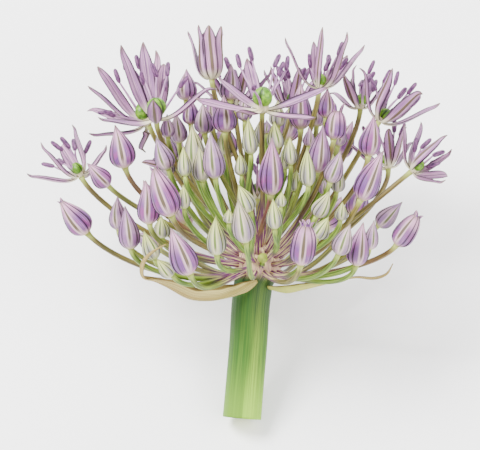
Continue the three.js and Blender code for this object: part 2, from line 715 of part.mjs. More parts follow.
function scapeSolid() {
  const rings = STEM_STATIONS.map(([side, depth, up, radius], i) => {
    const before = STEM_STATIONS[Math.max(0, i - 1)];
    const after = STEM_STATIONS[Math.min(STEM_STATIONS.length - 1, i + 1)];
    const along = vec(after).sub(vec(before)).normalize();
    const across = squareTo(along, new THREE.Vector3(0, -1, 0));
    return ringAt(vec([side, depth, up]), along, across, radius, STEM_SIDES);
  });
  const up = new THREE.Vector3(0, 0, 1);
  const front = new THREE.Vector3(0, -1, 0);
  for (const latitude of DOME_LATITUDES) {
    const height = RECEPTACLE_RADIUS * Math.sin(rad(latitude));
    const radius = RECEPTACLE_RADIUS * Math.cos(rad(latitude));
    const centre = new THREE.Vector3(0, 0, height);
    rings.push(ringAt(centre, up, front, radius, STEM_SIDES));
  }
  rings.push([new THREE.Vector3(0, 0, RECEPTACLE_RADIUS)]);
  return loft(rings);
}

const MATERIALS = {
  scape: { color: 0x5f9a3c, roughness: 0.55, metalness: 0 },
  bract: { color: 0xc9ab7c, roughness: 0.85, metalness: 0 },
  bud: { color: 0xb59cc9, roughness: 0.6, metalness: 0 },
  flower: { color: 0x9a78b8, roughness: 0.6, metalness: 0 },
};

function meshOf(name, solid, look) {
  const { vertProperties, triVerts } = solid.getMesh();
  const raw = new THREE.BufferGeometry();
  raw.setAttribute("position", new THREE.BufferAttribute(vertProperties, 3));
  raw.setIndex(new THREE.BufferAttribute(triVerts, 1));
  const geometry = mergeVertices(raw, 1e-4).toNonIndexed();
  geometry.computeVertexNormals();
  const material = new THREE.MeshStandardMaterial(MATERIALS[look]);
  const mesh = new THREE.Mesh(geometry, material);
  mesh.name = name;
  return mesh;
}

// One foot on the receptacle for each named stalk or pair of stalks
const names = [...new Set([...BUDS, ...FLOWERS].map((row) => row[0]))];
const seatOf = (name) => {
  const flower = FLOWERS.find((row) => row[0] === name);
  if (flower) {
    return vec(flower[1]);
  }
  const seats = BUDS.filter((row) => row[0] === name);
  const middle = new THREE.Vector3();
  seats.forEach((row) => middle.add(vec(row[1])));
  return middle.divideScalar(seats.length);
};
const feet = spreadFeet(names.map(seatOf));
const footOf = (name) => feet[names.indexOf(name)];

const plant = new THREE.Group();
plant.name = "plant";
plant.rotation.x = -rad(90 - AXIS_ANGLE);
plant.position.set(RECEPTACLE_AT.x, RECEPTACLE_AT.y, RECEPTACLE_AT.z);
plant.add(meshOf("scape", scapeSolid(), "scape"));
for (const [name, stations] of Object.entries(BRACTS)) {
  plant.add(meshOf(name, bractSolid(stations), "bract"));
}
for (const name of names) {
  const foot = footOf(name);
  const buds = BUDS.filter((row) => row[0] === name).map(
    ([, seat, tip, width]) => budSolid(name, foot, vec(seat), vec(tip), width),
  );
  const flowers = FLOWERS.filter((row) => row[0] === name).map(
    ([, seat, facing, ...rest]) =>
      flowerSolid(name, foot, vec(seat), vec(facing), ...rest),
  );
  const look = flowers.length > 0 ? "flower" : "bud";
  const solid = wasm.Manifold.union([...buds, ...flowers]);
  plant.add(meshOf(name, solid, look));
}

const allium = new THREE.Group();
allium.name = "allium_flower_head";
allium.add(plant);

export default allium;
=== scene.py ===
import json
import math
import random

import bpy
from mathutils import Matrix, Vector

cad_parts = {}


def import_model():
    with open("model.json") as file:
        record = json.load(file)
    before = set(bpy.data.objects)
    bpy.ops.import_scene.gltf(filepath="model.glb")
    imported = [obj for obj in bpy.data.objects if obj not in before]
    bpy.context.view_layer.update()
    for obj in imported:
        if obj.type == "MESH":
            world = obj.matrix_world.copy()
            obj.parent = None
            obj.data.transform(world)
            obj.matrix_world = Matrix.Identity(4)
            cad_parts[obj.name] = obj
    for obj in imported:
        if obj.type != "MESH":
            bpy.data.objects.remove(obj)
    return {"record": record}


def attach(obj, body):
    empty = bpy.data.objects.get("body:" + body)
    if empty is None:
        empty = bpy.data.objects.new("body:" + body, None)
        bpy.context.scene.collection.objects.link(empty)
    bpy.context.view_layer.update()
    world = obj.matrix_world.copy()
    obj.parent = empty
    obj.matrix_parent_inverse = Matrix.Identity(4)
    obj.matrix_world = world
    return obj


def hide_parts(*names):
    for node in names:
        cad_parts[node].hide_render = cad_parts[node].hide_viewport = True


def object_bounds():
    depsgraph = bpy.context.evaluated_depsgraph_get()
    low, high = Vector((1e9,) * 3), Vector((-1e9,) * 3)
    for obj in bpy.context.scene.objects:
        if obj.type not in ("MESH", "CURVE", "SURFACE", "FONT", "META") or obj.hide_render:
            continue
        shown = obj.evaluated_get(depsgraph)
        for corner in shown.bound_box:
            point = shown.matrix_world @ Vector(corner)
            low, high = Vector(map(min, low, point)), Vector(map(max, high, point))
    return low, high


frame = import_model()
cad_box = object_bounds()

# The plant is described in its own frame, in millimetres: (side, depth, up),
# with the centre of the receptacle at the origin, up along the stem and
# positive depth towards the table. It lies with its axis at this angle.
MM = 0.001
AXIS_ANGLE = math.radians(34)
LYING = Matrix.Rotation(AXIS_ANGLE - math.pi / 2, 3, "X")
RECEPTACLE_AT = Vector((5.55, -12.2, 30.3145))
FRONT = Vector((0, -1, 0))

# Stem and receptacle. A station of the stem is a place and a radius.
RECEPTACLE_RADIUS = 6.9
STEM_STATIONS = [
    (-4.8, 0, -45.6, 5.8),
    (-3.9, 0, -35, 5.75),
    (-2.9, 0, -23, 5.75),
    (-2.2, 0, -12, 5.8),
    (-1.4, 0, -5.2, 5.9),
]
STEM_SIDES = 72
STEM_RINGS = 60
# Ribs: height, number, start
RIBS = [(0.045, 22, 0), (0.027, 9, 1)]
RIB_FADE = 4
STEM_INSET = 0.03
# Rings of the cut end, as parts of its radius, and how far its middle dips
CUT_RINGS = (0.04, 0.35, 0.7, 0.9, 0.975)
CUT_DIP = 0.35
# Rings of the dome. It counts as 1.1 and up along the stem in the material.
DOME_LATITUDES = (-24, -10, 4, 18, 30, 42, 54, 64, 74, 83)
DOME_START = 1.1
DOME_SPAN = 114

# Pedicels
PEDICEL_RADIUS = 0.78
PEDICEL_FOOT_RADIUS = 0.95
PEDICEL_SIDES = 12
PEDICEL_RINGS = 26
SEAT_GAP = 0.3
FLARE_LENGTH = 1.6
CONE_LENGTH = 3.4
FLOWER_STALK = (0.9, 0.75)
FOOT_DROOP = 14
LOWEST_FOOT = -17
SPREAD_ROUNDS = 60
SPREAD_STEP = 0.004
SPREAD_RANGE = 0.8
SPREAD_LIMIT = 12
SPREAD_SOFTNESS = 0.002
# A little more than nothing, and a short way along a petal
TINY = 0.001
NEAR = 0.02
LEAVE_REACH = 0.38
# Stalks that bend up sooner
SHORT_LEAVE = {"flower_far_right": 0.16, "bud_far_right": 0.2}
ARRIVE_REACH = 0.2
# A direction that no stalk runs in
ASIDE = Vector((0.31, 0.17, 0.93))

# Closed buds: part of the length, part of the half width
BUD_OUTLINE = [
    (0, 0.26), (0.04, 0.52), (0.11, 0.8), (0.2, 0.96), (0.31, 1), (0.45, 0.91),
    (0.6, 0.71), (0.75, 0.44), (0.88, 0.2), (0.96, 0.09), (1, 0.03),
]
# A bud that is about to open is blunt
BLUNT_OUTLINE = [
    (0, 0.26), (0.04, 0.5), (0.11, 0.78), (0.21, 0.94), (0.34, 1),
    (0.55, 0.98), (0.75, 0.86), (0.9, 0.64), (1, 0.36),
]
BUD_RINGS = 24
BUD_FOOT_FIT = 1.04
BUD_SPIN = 0.45
BUD_TWIST = 0.3
BUD_LEAN = 0.04
# Three outer petals, each this many degrees to either side of its keel, over
# three inner ones. Heights are parts of the half width.
OUTER_HALF = 47
OUTER_STRIPS = 12
OUTER_HEIGHT = 0.97
KEEL_HEIGHT = 0.035
KEEL_WIDTH = 0.16
EDGE_DROP = 0.02
INNER_STRIPS = 3
INNER_DROP = 0.08
INNER_FLANK = (0.68, 0.84)
# Buds whose petals part at the tip: how blunt the bud is, and the number of
# petal ends, their length and how far they bend out
PARTED = {
    "bud_front_right_purple": (1, 6, 2.2, 1),
    "bud_far_right": (0.8, 3, 1.6, 0.7),
    "bud_far_left": (0.3, 3, 1.6, 0.6),
    "bud_right_horned_pair": (0.9, 2, 3.4, 0.8),
    "bud_left_large_pair": (0.45, 2, 2.2, 0.5),
}
# The petal ends: place on the bud, rings, spread round it, lengths and shape
ENDS_FROM = 0.93
ENDS_RINGS = 8
ENDS_SPREAD = 0.2
ENDS_LENGTHS = (0.85, 1.1)
ENDS_KNEE = 0.7
ENDS_CHANNEL = 0.2
ENDS_TWIST = 0.3
ENDS_ROOT = 0.9
ENDS_WIDTH = 1.1
ENDS_TAPER = 2.2
ENDS_TIP = 0.05

# Open flowers
TEPAL_LENGTH = 17.5
TEPAL_WIDTH = 3.9
# Where petals and stamens start: this far out from the flower's axis, and up
TEPAL_ROOT = (0.9, 0.5)
STAMEN_ROOT = (1, 1.4)
# A petal's blade bulges towards its back. In a flower that opens less than
# this it bulges more, and flares at its tip.
STRAIGHT_OPENING = 66
OPENING_RANGE = 50
TEPAL_BULGE = 0.3
CUP_BULGE = 1.3
CUP_FLARE = 0.5
TEPAL_LEAVE_REACH = 0.35
TEPAL_ARRIVE_REACH = 0.3
# The tip hooks from this part of the length on, by this many mm, least and most
HOOK_FROM = 0.84
HOOKS = (0.3, 1.6)
TEPAL_SWAY = 0.35
TEPAL_TWIST = 0.6
TEPAL_CHANNELS = (0.16, 0.34)
EDGE_WAVE = 0.06
EDGE_WAVES = 9
# Part of the length, part of the half width
TEPAL_OUTLINE = [
    (0, 0.34), (0.08, 0.48), (0.18, 0.68), (0.3, 0.88), (0.42, 1),
    (0.58, 0.98), (0.74, 0.84), (0.87, 0.58), (0.95, 0.34), (1, 0.1),
]
TEPAL_RINGS = 24
BLADE_STRIPS = 8
BLADE_THICKNESS = 0.34
# The face bulges by this part of the thickness, and its channel is deeper at
# the foot than at the tip
BLADE_CROWN = 0.2
BLADE_FOLDS = (1.4, 0.8)
# A blade is thinner where its half width is less than this
BLADE_FULL_HALF = 0.8
BLADE_KEEL = 0.16
BLADE_KEEL_WIDTH = 0.3
FILAMENT_LENGTH = 11.5
FILAMENT_RADII = (0.52, 0.27)
FILAMENT_BOW = 0.6
FILAMENT_RINGS = 12
FILAMENT_SIDES = 10
ANTHER_LENGTH = 4.8
ANTHER_BODY = 4.7
ANTHER_HEEL = 0.5
ANTHER_RADIUS = 0.8
ANTHER_TILT = 0.4
ANTHER_SIDES = 16
ANTHER_GROOVE = 0.3
ANTHER_LOBE = 0.8
# Part of the length, part of the radius
ANTHER_OUTLINE = [
    (0, 0.1), (0.04, 0.5), (0.12, 0.84), (0.3, 1),
    (0.6, 1), (0.86, 0.86), (0.96, 0.52), (1, 0.1),
]
STAMEN_SPREAD = 36
FULL_STAMEN_OPENING = 49
# Height over the seat and radius of the cup and of the ovary
CUP_OUTLINE = [(-0.5, 0.86), (0, 0.95), (0.5, 1.4), (1.2, 1.6), (2, 1.7), (2.7, 1.4)]
CUP_SIDES = 24
OVARY_OUTLINE = [
    (1.6, 1.2), (2.4, 1.9), (3.1, 2.5), (4, 2.75),
    (5.1, 2.6), (6, 2), (6.7, 1.1), (7, 0.3),
]
OVARY_RINGS = 20
OVARY_SIDES = 36
OVARY_GROOVE = 0.34
OVARY_LOBE = 0.6

# Closed buds: node, foot of the bud, its tip, width, how purple it is (0 is
# green) and how brown its stalk is (0 is green).
BUDS = [
    ["bud_left_outer", [-39.6, -12, 29.4], [-42.6, -14, 42], 8.4, 1, 0.9],
    ["bud_left_outer", [-44.6, -16, 24], [-50.7, -20, 30.6], 6.2, 0.75, 0.6],
    ["bud_far_left", [-51, -8, 9.9], [-59.3, -10, 20.1], 8, 0.8, 0.7],
    ["bud_left_low_pair", [-41.7, -5, 10.8], [-42, -6, 21], 6, 0.6, 0.5],
    ["bud_left_low_pair", [-37.8, -14, 5.1], [-39.6, -15, 18], 6.9, 0.62, 0.2],
    ["bud_left_mid", [-32.1, -25, 12.6], [-33.3, -26, 25.5], 7.2, 0.85, 0.5],
    ["bud_left_large_pair", [-25.5, -34, 15], [-30.9, -36, 30], 8.9, 1, 0.8],
    ["bud_front_left_purple", [-20.1, -38, -2.1], [-25.6, -41, 11.4], 8.6, 0.8, 0.3],
    ["bud_left_green_pair", [-30.6, -19, 2], [-33.9, -19, 10.6], 5.4, 0.2, 0.1],
    ["bud_left_green_pair", [-25.4, -27, -2.7], [-30, -29, 2.4], 5, 0.1, 0.1],
    ["bud_left_behind", [-28.5, -12, 8.4], [-28.8, -13, 15], 5.6, 0.15, 0.1],
    ["bud_front_white", [-12.2, -35, 3.6], [-12.5, -39, 15], 6.3, 0.22, 0.1],
    ["bud_front_lavender", [-3.7, -41, 7.2], [-6, -45, 20], 7, 0.36, 0.1],
    ["bud_front_green_pair", [4.8, -37, 11.1], [4.2, -39, 20.1], 5.1, 0.08, 0],
    ["bud_front_green_pair", [6.6, -32, 17.7], [6.9, -33, 22.2], 3.6, 0.05, 0],
    ["bud_front_right_purple", [12.3, -38, 0.6], [14.1, -41, 13.4], 7.8, 0.8, 0.7],
    ["bud_centre_large", [3.6, -26, 21.3], [4, -31, 38], 8, 0.9, 1],
    ["bud_upper_pale_pair", [-2.1, -20, 33.2], [-2.9, -22, 44.2], 5, 0.15, 0.1],
    ["bud_upper_pale_pair", [-5, -8, 27], [-5.5, -8, 34], 4.2, 0.1, 0.1],
    ["bud_upper_slim_group", [5.4, -17, 34.8], [4.8, -17, 43.2], 5.4, 0.2, 0.1],
    ["bud_upper_slim_group", [8.1, -9, 28.8], [8.4, -9, 37.2], 3.9, 0.15, 0.1],
    ["bud_upper_slim_group", [2.6, -3, 39.6], [2.6, -3, 43.8], 3.6, 0.5, 0.1],
    ["bud_right_white_pair", [9.6, -24, 30], [9.4, -25, 38.4], 4.4, 0.25, 0.2],
    ["bud_right_white_pair", [14.7, -26, 23.7], [14.4, -29, 35.2], 5.2, 0.22, 0.1],
    ["bud_right_lilac_group", [17.4, -18, 27.9], [19.2, -20, 42], 7.2, 0.7, 0.4],
    ["bud_right_lilac_group", [15, -12, 35.7], [15.3, -12, 41.4], 3.9, 0.6, 0.4],
    ["bud_right_lilac_group", [11, -6, 22], [11.5, -6, 29], 4.2, 0.1, 0.2],
    ["bud_right_pale_pair", [21.2, -24, 24.9], [24.3, -26, 34.2], 6, 0.5, 0.2],
    ["bud_right_pale_pair", [19.5, -18, 21.3], [19.8, -18, 25.8], 3.6, 0.45, 0.2],
    ["bud_right_young_pair", [17.1, -29, 14.8], [21, -32, 22.4], 5.4, 0.3, 0.1],
    ["bud_right_young_pair", [24.3, -22, 13.5], [24.9, -22, 19.2], 4.2, 0.25, 0.1],
    ["bud_centre_young_pair", [-2.4, -32, 16.2], [-6, -34, 24.3], 5.7, 0.08, 0],
    ["bud_centre_young_pair", [-8.7, -29, 12.9], [-8.7, -30, 17.1], 3.9, 0.1, 0],
    ["bud_left_pale_pair", [-12.6, -26, 26.1], [-14.1, -29, 39.8], 7, 0.5, 0.1],
    ["bud_left_pale_pair", [-16.6, -17, 25.2], [-17.6, -18, 36], 5.8, 0.32, 0.1],
    ["bud_left_tall_group", [-18.6, -10, 28.8], [-19.8, -11, 42.3], 7.2, 0.3, 0.1],
    ["bud_left_tall_group", [-21.6, -22, 26.7], [-22.2, -22, 35.7], 4.5, 0.15, 0.1],
    ["bud_left_tall_group", [-16, -2, 26], [-17, -2, 33], 4.5, 0.1, 0],
    ["bud_left_large_pair", [-21.9, -26, 17], [-22.2, -26, 24.3], 4.2, 0.08, 0],
    ["bud_left_grey_group", [-26.7, -15, 28.8], [-30.3, -16, 38.4], 6.3, 0.5, 0.2],
    ["bud_left_grey_group", [-23.7, 4, 36.9], [-24.6, 4, 46], 6, 0.55, 0.4],
    ["bud_left_grey_group", [-26.5, -3, 27], [-28.5, -3, 35], 4.8, 0.4, 0.4],
    ["bud_top_left_pair", [-9.9, -10, 39.9], [-10.2, -10, 51], 7.8, 0.95, 0.7],
    ["bud_top_left_pair", [-15.9, -2, 39.6], [-16.5, -2, 49], 6.6, 0.55, 0.5],
    ["bud_top_back_group", [-21.6, 8, 49.8], [-21.6, 9, 59.4], 6.6, 0.7, 0.6],
    ["bud_top_back_group", [-8.4, 6, 49.8], [-8.1, 6, 60.9], 6.9, 0.68, 0.6],
    ["bud_top_back_group", [-10, 4, 33], [-10.5, 4, 41], 5.1, 0.2, 0.1],
    ["bud_right_horned_pair", [22.5, -12, 37.8], [24, -12, 48], 6.9, 0.9, 0.8],
    ["bud_right_horned_pair", [21, -5, 28], [22, -5, 35], 4.8, 0.2, 0.1],
    ["bud_right_behind_group", [17.7, 12, 42], [17.7, 13, 49], 6, 0.6, 0.5],
    ["bud_right_behind_group", [12.9, 5, 41.1], [12.9, 6, 55.5], 7.5, 0.75, 0.7],
    ["bud_right_behind_group", [24, 5, 36], [25, 5, 44], 5.4, 0.5, 0.4],
    ["bud_right_dark_pair", [32.9, -8, 32.9], [34.5, -8, 45], 7.2, 1, 0.8],
    ["bud_right_dark_pair", [23.4, -12, 22], [24.6, -13, 30], 4.8, 0.3, 0.2],
    ["bud_right_tall", [30.3, -22, 19.8], [36.9, -25, 34.2], 8, 0.85, 0.8],
    ["bud_right_outer_pale", [35.7, -9, 12], [43, -10, 19.2], 5.9, 0.5, 0.6],
    ["bud_far_right", [41.1, -14, 6.3], [47.7, -16, 15.8], 6.9, 0.75, 0.9],
    ["bud_right_low_pair", [28.8, -25, 0.3], [31, -27, 13.1], 7.2, 0.75, 0.1],
    ["bud_right_low_pair", [33, -17, 5], [34.4, -18, 13.8], 4.8, 0.5, 0.1],
    ["bud_right_grey_pair", [23.4, -33, 3.6], [27, -35, 12.6], 6.3, 0.42, 0.1],
    ["bud_right_grey_pair", [17.4, -31, 8.4], [20.7, -33, 14.7], 5.4, 0.2, 0.1],
    ["bud_rudiment", [1.3, -9.4, 2.4], [1.4, -12.2, 2.4], 3.2, -1, 0],
    ["bud_rest_left", [-22, 37.94, 12], [-28, 49.94, 21], 7.8, 0.85, 0.6],
    ["bud_rest_right", [20, 37.885, 12], [26, 49.885, 21], 7.8, 0.8, 0.6],
    ["bud_back_left_pair", [-31, 26, 16], [-35, 33, 26], 7.2, 0.8, 0.6],
    ["bud_back_left_pair", [-30, 21, 5], [-37, 29, 10], 6.6, 0.6, 0.6],
    ["bud_back_right_pair", [29, 24, 15], [33, 31, 25], 7.2, 0.8, 0.6],
    ["bud_back_right_pair", [29, 19, 3.5], [34.5, 27, 8], 6, 0.6, 0.6],
    ["bud_back_centre_pair", [-9, 28, 33], [-11, 33, 45], 7.5, 0.8, 0.6],
    ["bud_back_centre_pair", [-26, 21, 31], [-29, 25, 41], 6, 0.6, 0.4],
    ["bud_back_upper_group", [9, 27, 38], [11, 32, 50], 7.2, 0.75, 0.5],
    ["bud_back_upper_group", [1, 20, 36], [1, 23, 45], 5.4, 0.3, 0.2],
    ["bud_back_upper_group", [6, 9, 42], [6, 9, 50], 5.4, 0.3, 0.2],
    ["bud_back_high_pair", [24, 22, 33], [29, 27, 44], 7.5, 0.85, 0.6],
    ["bud_back_high_pair", [17, 29, 27], [21, 36, 36], 5.7, 0.3, 0.2],
    ["bud_back_low_pair", [-12, 31, 4], [-15, 41, 11], 6, 0.3, 0.1],
    ["bud_back_low_pair", [-20, 28, 2], [-27, 35, 7], 5.1, 0.1, 0],
    ["bud_back_small_pair", [11, 31, 4], [14, 40, 10], 6, 0.3, 0.1],
    ["bud_back_small_pair", [3, 30, 3], [4, 39, 9], 5.4, 0.1, 0],
    ["flower_left_front", [-27, -4, 38.5], [-27.2, -4, 45.5], 4.6, 0.6, 0.5],
    ["flower_top_right", [20.5, 3, 44.5], [21, 3, 53.5], 6.2, 0.8, 0.6],
    ["flower_back_upper", [-4, 4, 43.5], [-4.1, 4, 51.5], 5.2, 0.55, 0.5],
    ["flower_left_facing", [-20.2, 4, 42.5], [-20.6, 4, 51], 5.4, 0.85, 0.6],
    ["flower_back_upper", [-13.8, 8, 43], [-14.1, 8, 51.5], 5.2, 0.7, 0.6],
]

# Open and half-open flowers: node, seat of the petals, the way the flower
# faces, spin and opening of the petals in degrees, size, size of the ovary.
FLOWERS = [
    ["flower_left_facing", [-33, 7, 42.6], [-0.4, -0.2, 0.9], 10, 52, 1.1, 1],
    ["flower_left_front", [-30.3, -10, 43.2], [0, -0.45, 0.9], 40, 50, 1.15, 1.1],
    ["flower_far_left", [-53.1, 1, 26.7], [-0.45, -0.25, 0.85], 5, 46, 0.95, 0.7],
    ["flower_top_left_goblet", [-13.9, -1, 55.8], [-0.1, 0, 1], 15, 16, 1.27, 0.75],
    ["flower_centre", [1.2, -17, 45.9], [0.05, -0.42, 0.9], 12, 66, 1.12, 1.15],
    ["flower_top_right", [18.3, -5, 52.8], [0.12, -0.1, 1], 25, 42, 1.05, 0.7],
    ["flower_right_upper", [36.3, -1, 43.2], [0.6, -0.15, 0.75], 5, 44, 1.05, 0.7],
    ["flower_right_behind", [30.9, 10, 47.1], [0.08, 0.15, 1], 0, 50, 0.9, 0.7],
    ["flower_far_right", [45.6, -8, 28.2], [0.76, -0.16, 0.62], 22, 48, 0.9, 0.7],
    ["flower_right_back", [39.3, 9, 29.1], [-0.12, 0.24, 0.95], 10, 50, 0.88, 0.7],
    ["flower_back_upper", [-7, 16, 48], [-0.05, 0.2, 0.95], 20, 52, 0.9, 0.8],
    ["flower_back_upper", [10, 18, 47.5], [0.08, 0.1, 1], 10, 42, 0.85, 0.7],
    ["flower_back_left", [-21, 31, 29], [-0.35, 0.7, 0.6], 0, 60, 0.84, 0.9],
    ["flower_rest_middle", [0, 36, 20], [0, 0.35, 0.95], 30, 50, 0.86, 0.8],
]

# Petals that are rolled lengthwise: their numbers in the table of tips below,
# counted from 0
ROLLED_TEPALS = {"flower_top_right": [1]}
ROLLED_WIDTH = 0.55

# Tips of the petals and outer ends of the anthers (side, depth, up) of the
# flowers that the photograph shows. The others have them evenly round.
TEPAL_TIPS = {
    "flower_left_facing": [
        [-48.6, 8, 59.8], [-51.3, 1, 53.7], [-51.6, 14, 47.7],
        [-50.4, 0, 38.7], [-35, 20, 35], [-29.7, 13, 64.5],
    ],
    "flower_left_front": [
        [-30.9, -29, 48.3], [-13.2, -16, 53.7], [-28, 3, 61],
        [-34.6, -5, 66.4], [-41.8, -9, 65.2], [-47.4, -17, 43.2],
    ],
    "flower_far_left": [
        [-54.9, 0, 42.4], [-65.4, -6, 36], [-69.3, -2, 26.7],
        [-45, 3, 35.4], [-60, 14, 37], [-49, 15, 30],
    ],
    "flower_top_left_goblet": [
        [-14.7, -5, 71.7], [-18.4, -3, 71.6], [-21.4, 0.5, 70],
        [-10.4, -2.4, 71.4], [-16, 5, 70.5], [-11.2, 4, 70.5],
    ],
    "flower_centre": [
        [-18.6, -18, 49.3], [-12, -7, 56.1], [-6.3, -34, 45.9],
        [16.8, -29, 43.5], [20.7, -18, 52.8], [-3.6, -4, 61.5],
    ],
    "flower_top_right": [
        [7.5, -8, 67.5], [18.9, -12, 70.8], [16.6, 4, 67.2],
        [27.6, -10, 68.8], [32.4, -3, 65.4], [27, 8, 62.4],
    ],
    "flower_right_upper": [
        [31.2, -7, 59.7], [39.6, -10, 59.1], [49.2, -10, 52.5],
        [54.6, -3, 47.7], [48, 12, 50], [39, 12, 56],
    ],
    "flower_right_behind": [
        [25.8, 2, 56.7], [28.6, 12, 60.3], [34, 20, 58.5],
        [38.5, 13, 55], [31, 25, 52], [22, 17, 53],
    ],
    "flower_far_right": [
        [43.2, -10, 42], [49.2, -3, 43.2], [55.2, -14, 39.3],
        [58.2, -8, 33.6], [57.3, 1, 27.3], [54.9, -15, 24.6],
    ],
    "flower_right_back": [
        [26.4, 13, 37.5], [39.5, 7, 41.6], [44.4, 6, 42.2],
        [47, 16, 38], [41, 23, 36], [31, 20, 35],
    ],
}
ANTHER_ENDS = {
    "flower_left_facing": [
        [-44.4, 6, 59.5], [-48.6, 3, 47.7], [-46.8, -4, 45.6],
        [-41.8, 5, 63.6], [-36.6, 9, 60], [-33, 16, 56],
    ],
    "flower_left_front": [
        [-37, -4, 63.6], [-35.4, -16, 58.6], [-30.3, -8, 61.5],
        [-26.1, -5, 61.5], [-20.7, -15, 57.2], [-27, -1, 57],
    ],
    "flower_far_left": [
        [-58.5, 0, 39.9], [-61.2, -4, 38.7], [-66, 2, 31.5],
        [-56, 8, 39], [-51, 5, 38.5], [-62, 8, 33],
    ],
    "flower_centre": [
        [-7.5, -11, 63.4], [-2.7, -13, 66], [6, -12, 64],
        [7.6, -20, 61.4], [10.8, -17, 62.6], [-2.4, -32, 54.6],
    ],
    "flower_top_right": [
        [26, -5, 67.6], [27.6, -1, 62.4], [21, -4, 63.4],
        [14, -7, 64], [17.6, 0, 64.6], [22.6, 2, 64.6],
    ],
    "flower_right_upper": [
        [43, -3, 58.8], [38.4, -1, 60], [48, -3, 55.4],
        [50.4, 1, 50.4], [34.8, 2, 57.6], [45, 5, 54],
    ],
    "flower_right_behind": [
        [33.6, 9, 60], [34.2, 12, 63], [28, 14, 57],
        [31, 20, 58], [37, 18, 56], [26, 18, 54],
    ],
    "flower_far_right": [
        [50.7, -5, 39.6], [56.1, -3, 35.8], [52, -9, 37.4],
        [47.4, -6, 39], [55, -9, 31.6], [55.2, 1, 32],
    ],
}

# Papery bracts: place, half width, hollow, and the way the hollow faces
BRACTS = {
    "spathe_bract_left": [
        [[-0.3, -6.55, -4.5], 0.5, 0.1, [0.1, 1, 0.4]],
        [[-2.6, -7.5, -5.9], 1.6, 0.6, [0.15, 0.9, 0.5]],
        [[-6.2, -8.7, -8], 2.6, 1.8, [0.2, 0.6, 0.8]],
        [[-10.4, -9.8, -9.4], 3.4, 3.2, [0.2, 0.3, 1]],
        [[-14.8, -11.7, -10], 4, 3.7, [0.1, 0.2, 1]],
        [[-20.4, -13.8, -9.4], 3.8, 2.7, [0.1, 0.2, 1]],
        [[-26.4, -16.8, -6.2], 3, 2.4, [0.2, 0.1, 1]],
        [[-30.6, -20, -4.2], 1.5, 1, [0.3, 0, 1]],
        [[-34, -22.4, -3.2], 1.1, 0.4, [0.9, 0.2, 0.4]],
        [[-34.6, -23.4, -0.4], 1.1, 0.3, [0.8, 0.6, 0.1]],
        [[-33.2, -24, 2.6], 0.8, 0.15, [0.6, 0.7, -0.4]],
        [[-30.4, -24.4, 4.9], 0.45, 0.1, [0.5, 0.6, -0.6]],
        [[-27.2, -24.6, 6.6], 0.25, 0.05, [0.5, 0.4, -0.8]],
    ],
    "spathe_bract_right": [
        [[3.3, -3.9, -6.6], 1.7, 0.6, [-0.3, 0.3, 1]],
        [[8.4, -6.4, -7.7], 2.6, 1.6, [-0.1, 0.2, 1]],
        [[13.2, -6.2, -6.8], 2.4, 1.4, [0, 0.2, 1]],
        [[18.4, -4.2, -5.6], 1.7, 0.9, [-0.2, 0.1, 1]],
        [[23.8, -2.2, -4.3], 1.2, 0.5, [-0.4, 0, 1]],
        [[29.4, -1.6, -3.3], 0.9, 0.2, [0, 0.2, 1]],
        [[34.6, -1.4, -3.7], 0.9, 0.2, [0, 0.5, 1]],
        [[38.4, -1.6, -2.4], 0.7, 0.1, [-0.5, 0.5, 0.8]],
        [[40.4, -1.8, 0.8], 0.25, 0.05, [-1, 0.3, 0.2]],
    ],
    "spathe_bract_back": [
        [[0.4, 6.15, -5.8], 2, 0.5, [0, 0.3, 1]],
        [[0.8, 10.4, -8.4], 2.6, 1, [0, 0.3, 1]],
        [[1.4, 15.4, -10], 2.6, 1.2, [0, 0.2, 1]],
        [[2, 19.6, -9.4], 1.7, 0.8, [0, -0.1, 1]],
        [[2.6, 23.4, -7.6], 0.5, 0.2, [0, -0.3, 1]],
    ],
}

# The visual bracts are this thick, or this part of a narrow bract's half width
BRACT_THICKNESS = 0.35
BRACT_THIN = 0.6
BRACT_THREAD = 0.12
BRACT_CURL = 2.2
BRACT_INSET = 0.05
BRACT_RINGS = 48
BRACT_STRIPS = 12
# Waves of the edge: height, number in radians, start
BRACT_WAVES = [(0.04, 31, 0), (0.03, 57, 1)]
# How green each bract still is at its foot
BRACT_GREEN = {"spathe_bract_left": 0.2, "spathe_bract_right": 0.8, "spathe_bract_back": 0.3}

# The materials of a bud or flower, in the order of its material slots
STALK, BUD, MARGIN, FACE, BACK, FILAMENT, ANTHER, OVARY, CUP = range(9)

# How the painted colours are deepened, because strong white light washes
# them out
COLOUR_DEPTH = 1.35
COLOUR_GAIN = (0.9, 0.86, 0.7)
PETAL_BUMP = 0.00015

# Camera: the photograph is 480 pixels wide and a pixel is 0.3 mm at the head
LENS = 400
SENSOR = 36
IMAGE_WIDTH = 480
MM_PER_PIXEL = 0.3
AIM = (-5.4, 0, 12.3)

# Stage, in metres and watts. A lamp is a name, a place, a size and a power.
FLOOR_HALF = 3
FLOOR_WHITE = 0.96
LAMPS = [
    ("key", (-0.45, 0.1, 0.8), 0.4, 24.5),
    ("fill", (0.6, -0.35, 0.6), 0.7, 11),
    ("back", (0.1, 0.8, 0.5), 0.6, 6),
]
LAMPS_AIM = Vector((0, 0, 0.04))
SURROUND = 1.5

# Every random draw comes from here, in the order in which pieces are built
SEED = 11
chance = random.Random(SEED)


def swing(most):
    """A random number at most this far from 0."""
    return chance.uniform(-most, most)


def world(point):
    """A point of the plant's frame, in mm, in the row frame in metres."""
    return (LYING @ Vector(point) + RECEPTACLE_AT) * MM


def inside_box(point):
    """The point, or the nearest one inside the outer size of the part."""
    return Vector([min(high, max(low, at)) for low, high, at in zip(*cad_box, point)])


def square_to(along, near):
    """A unit vector square to along, on the side of near."""
    return (near - along * near.dot(along)).normalized()


def between(pair, t):
    """The first number of a pair at 0, the second at 1."""
    return pair[0] + (pair[1] - pair[0]) * t


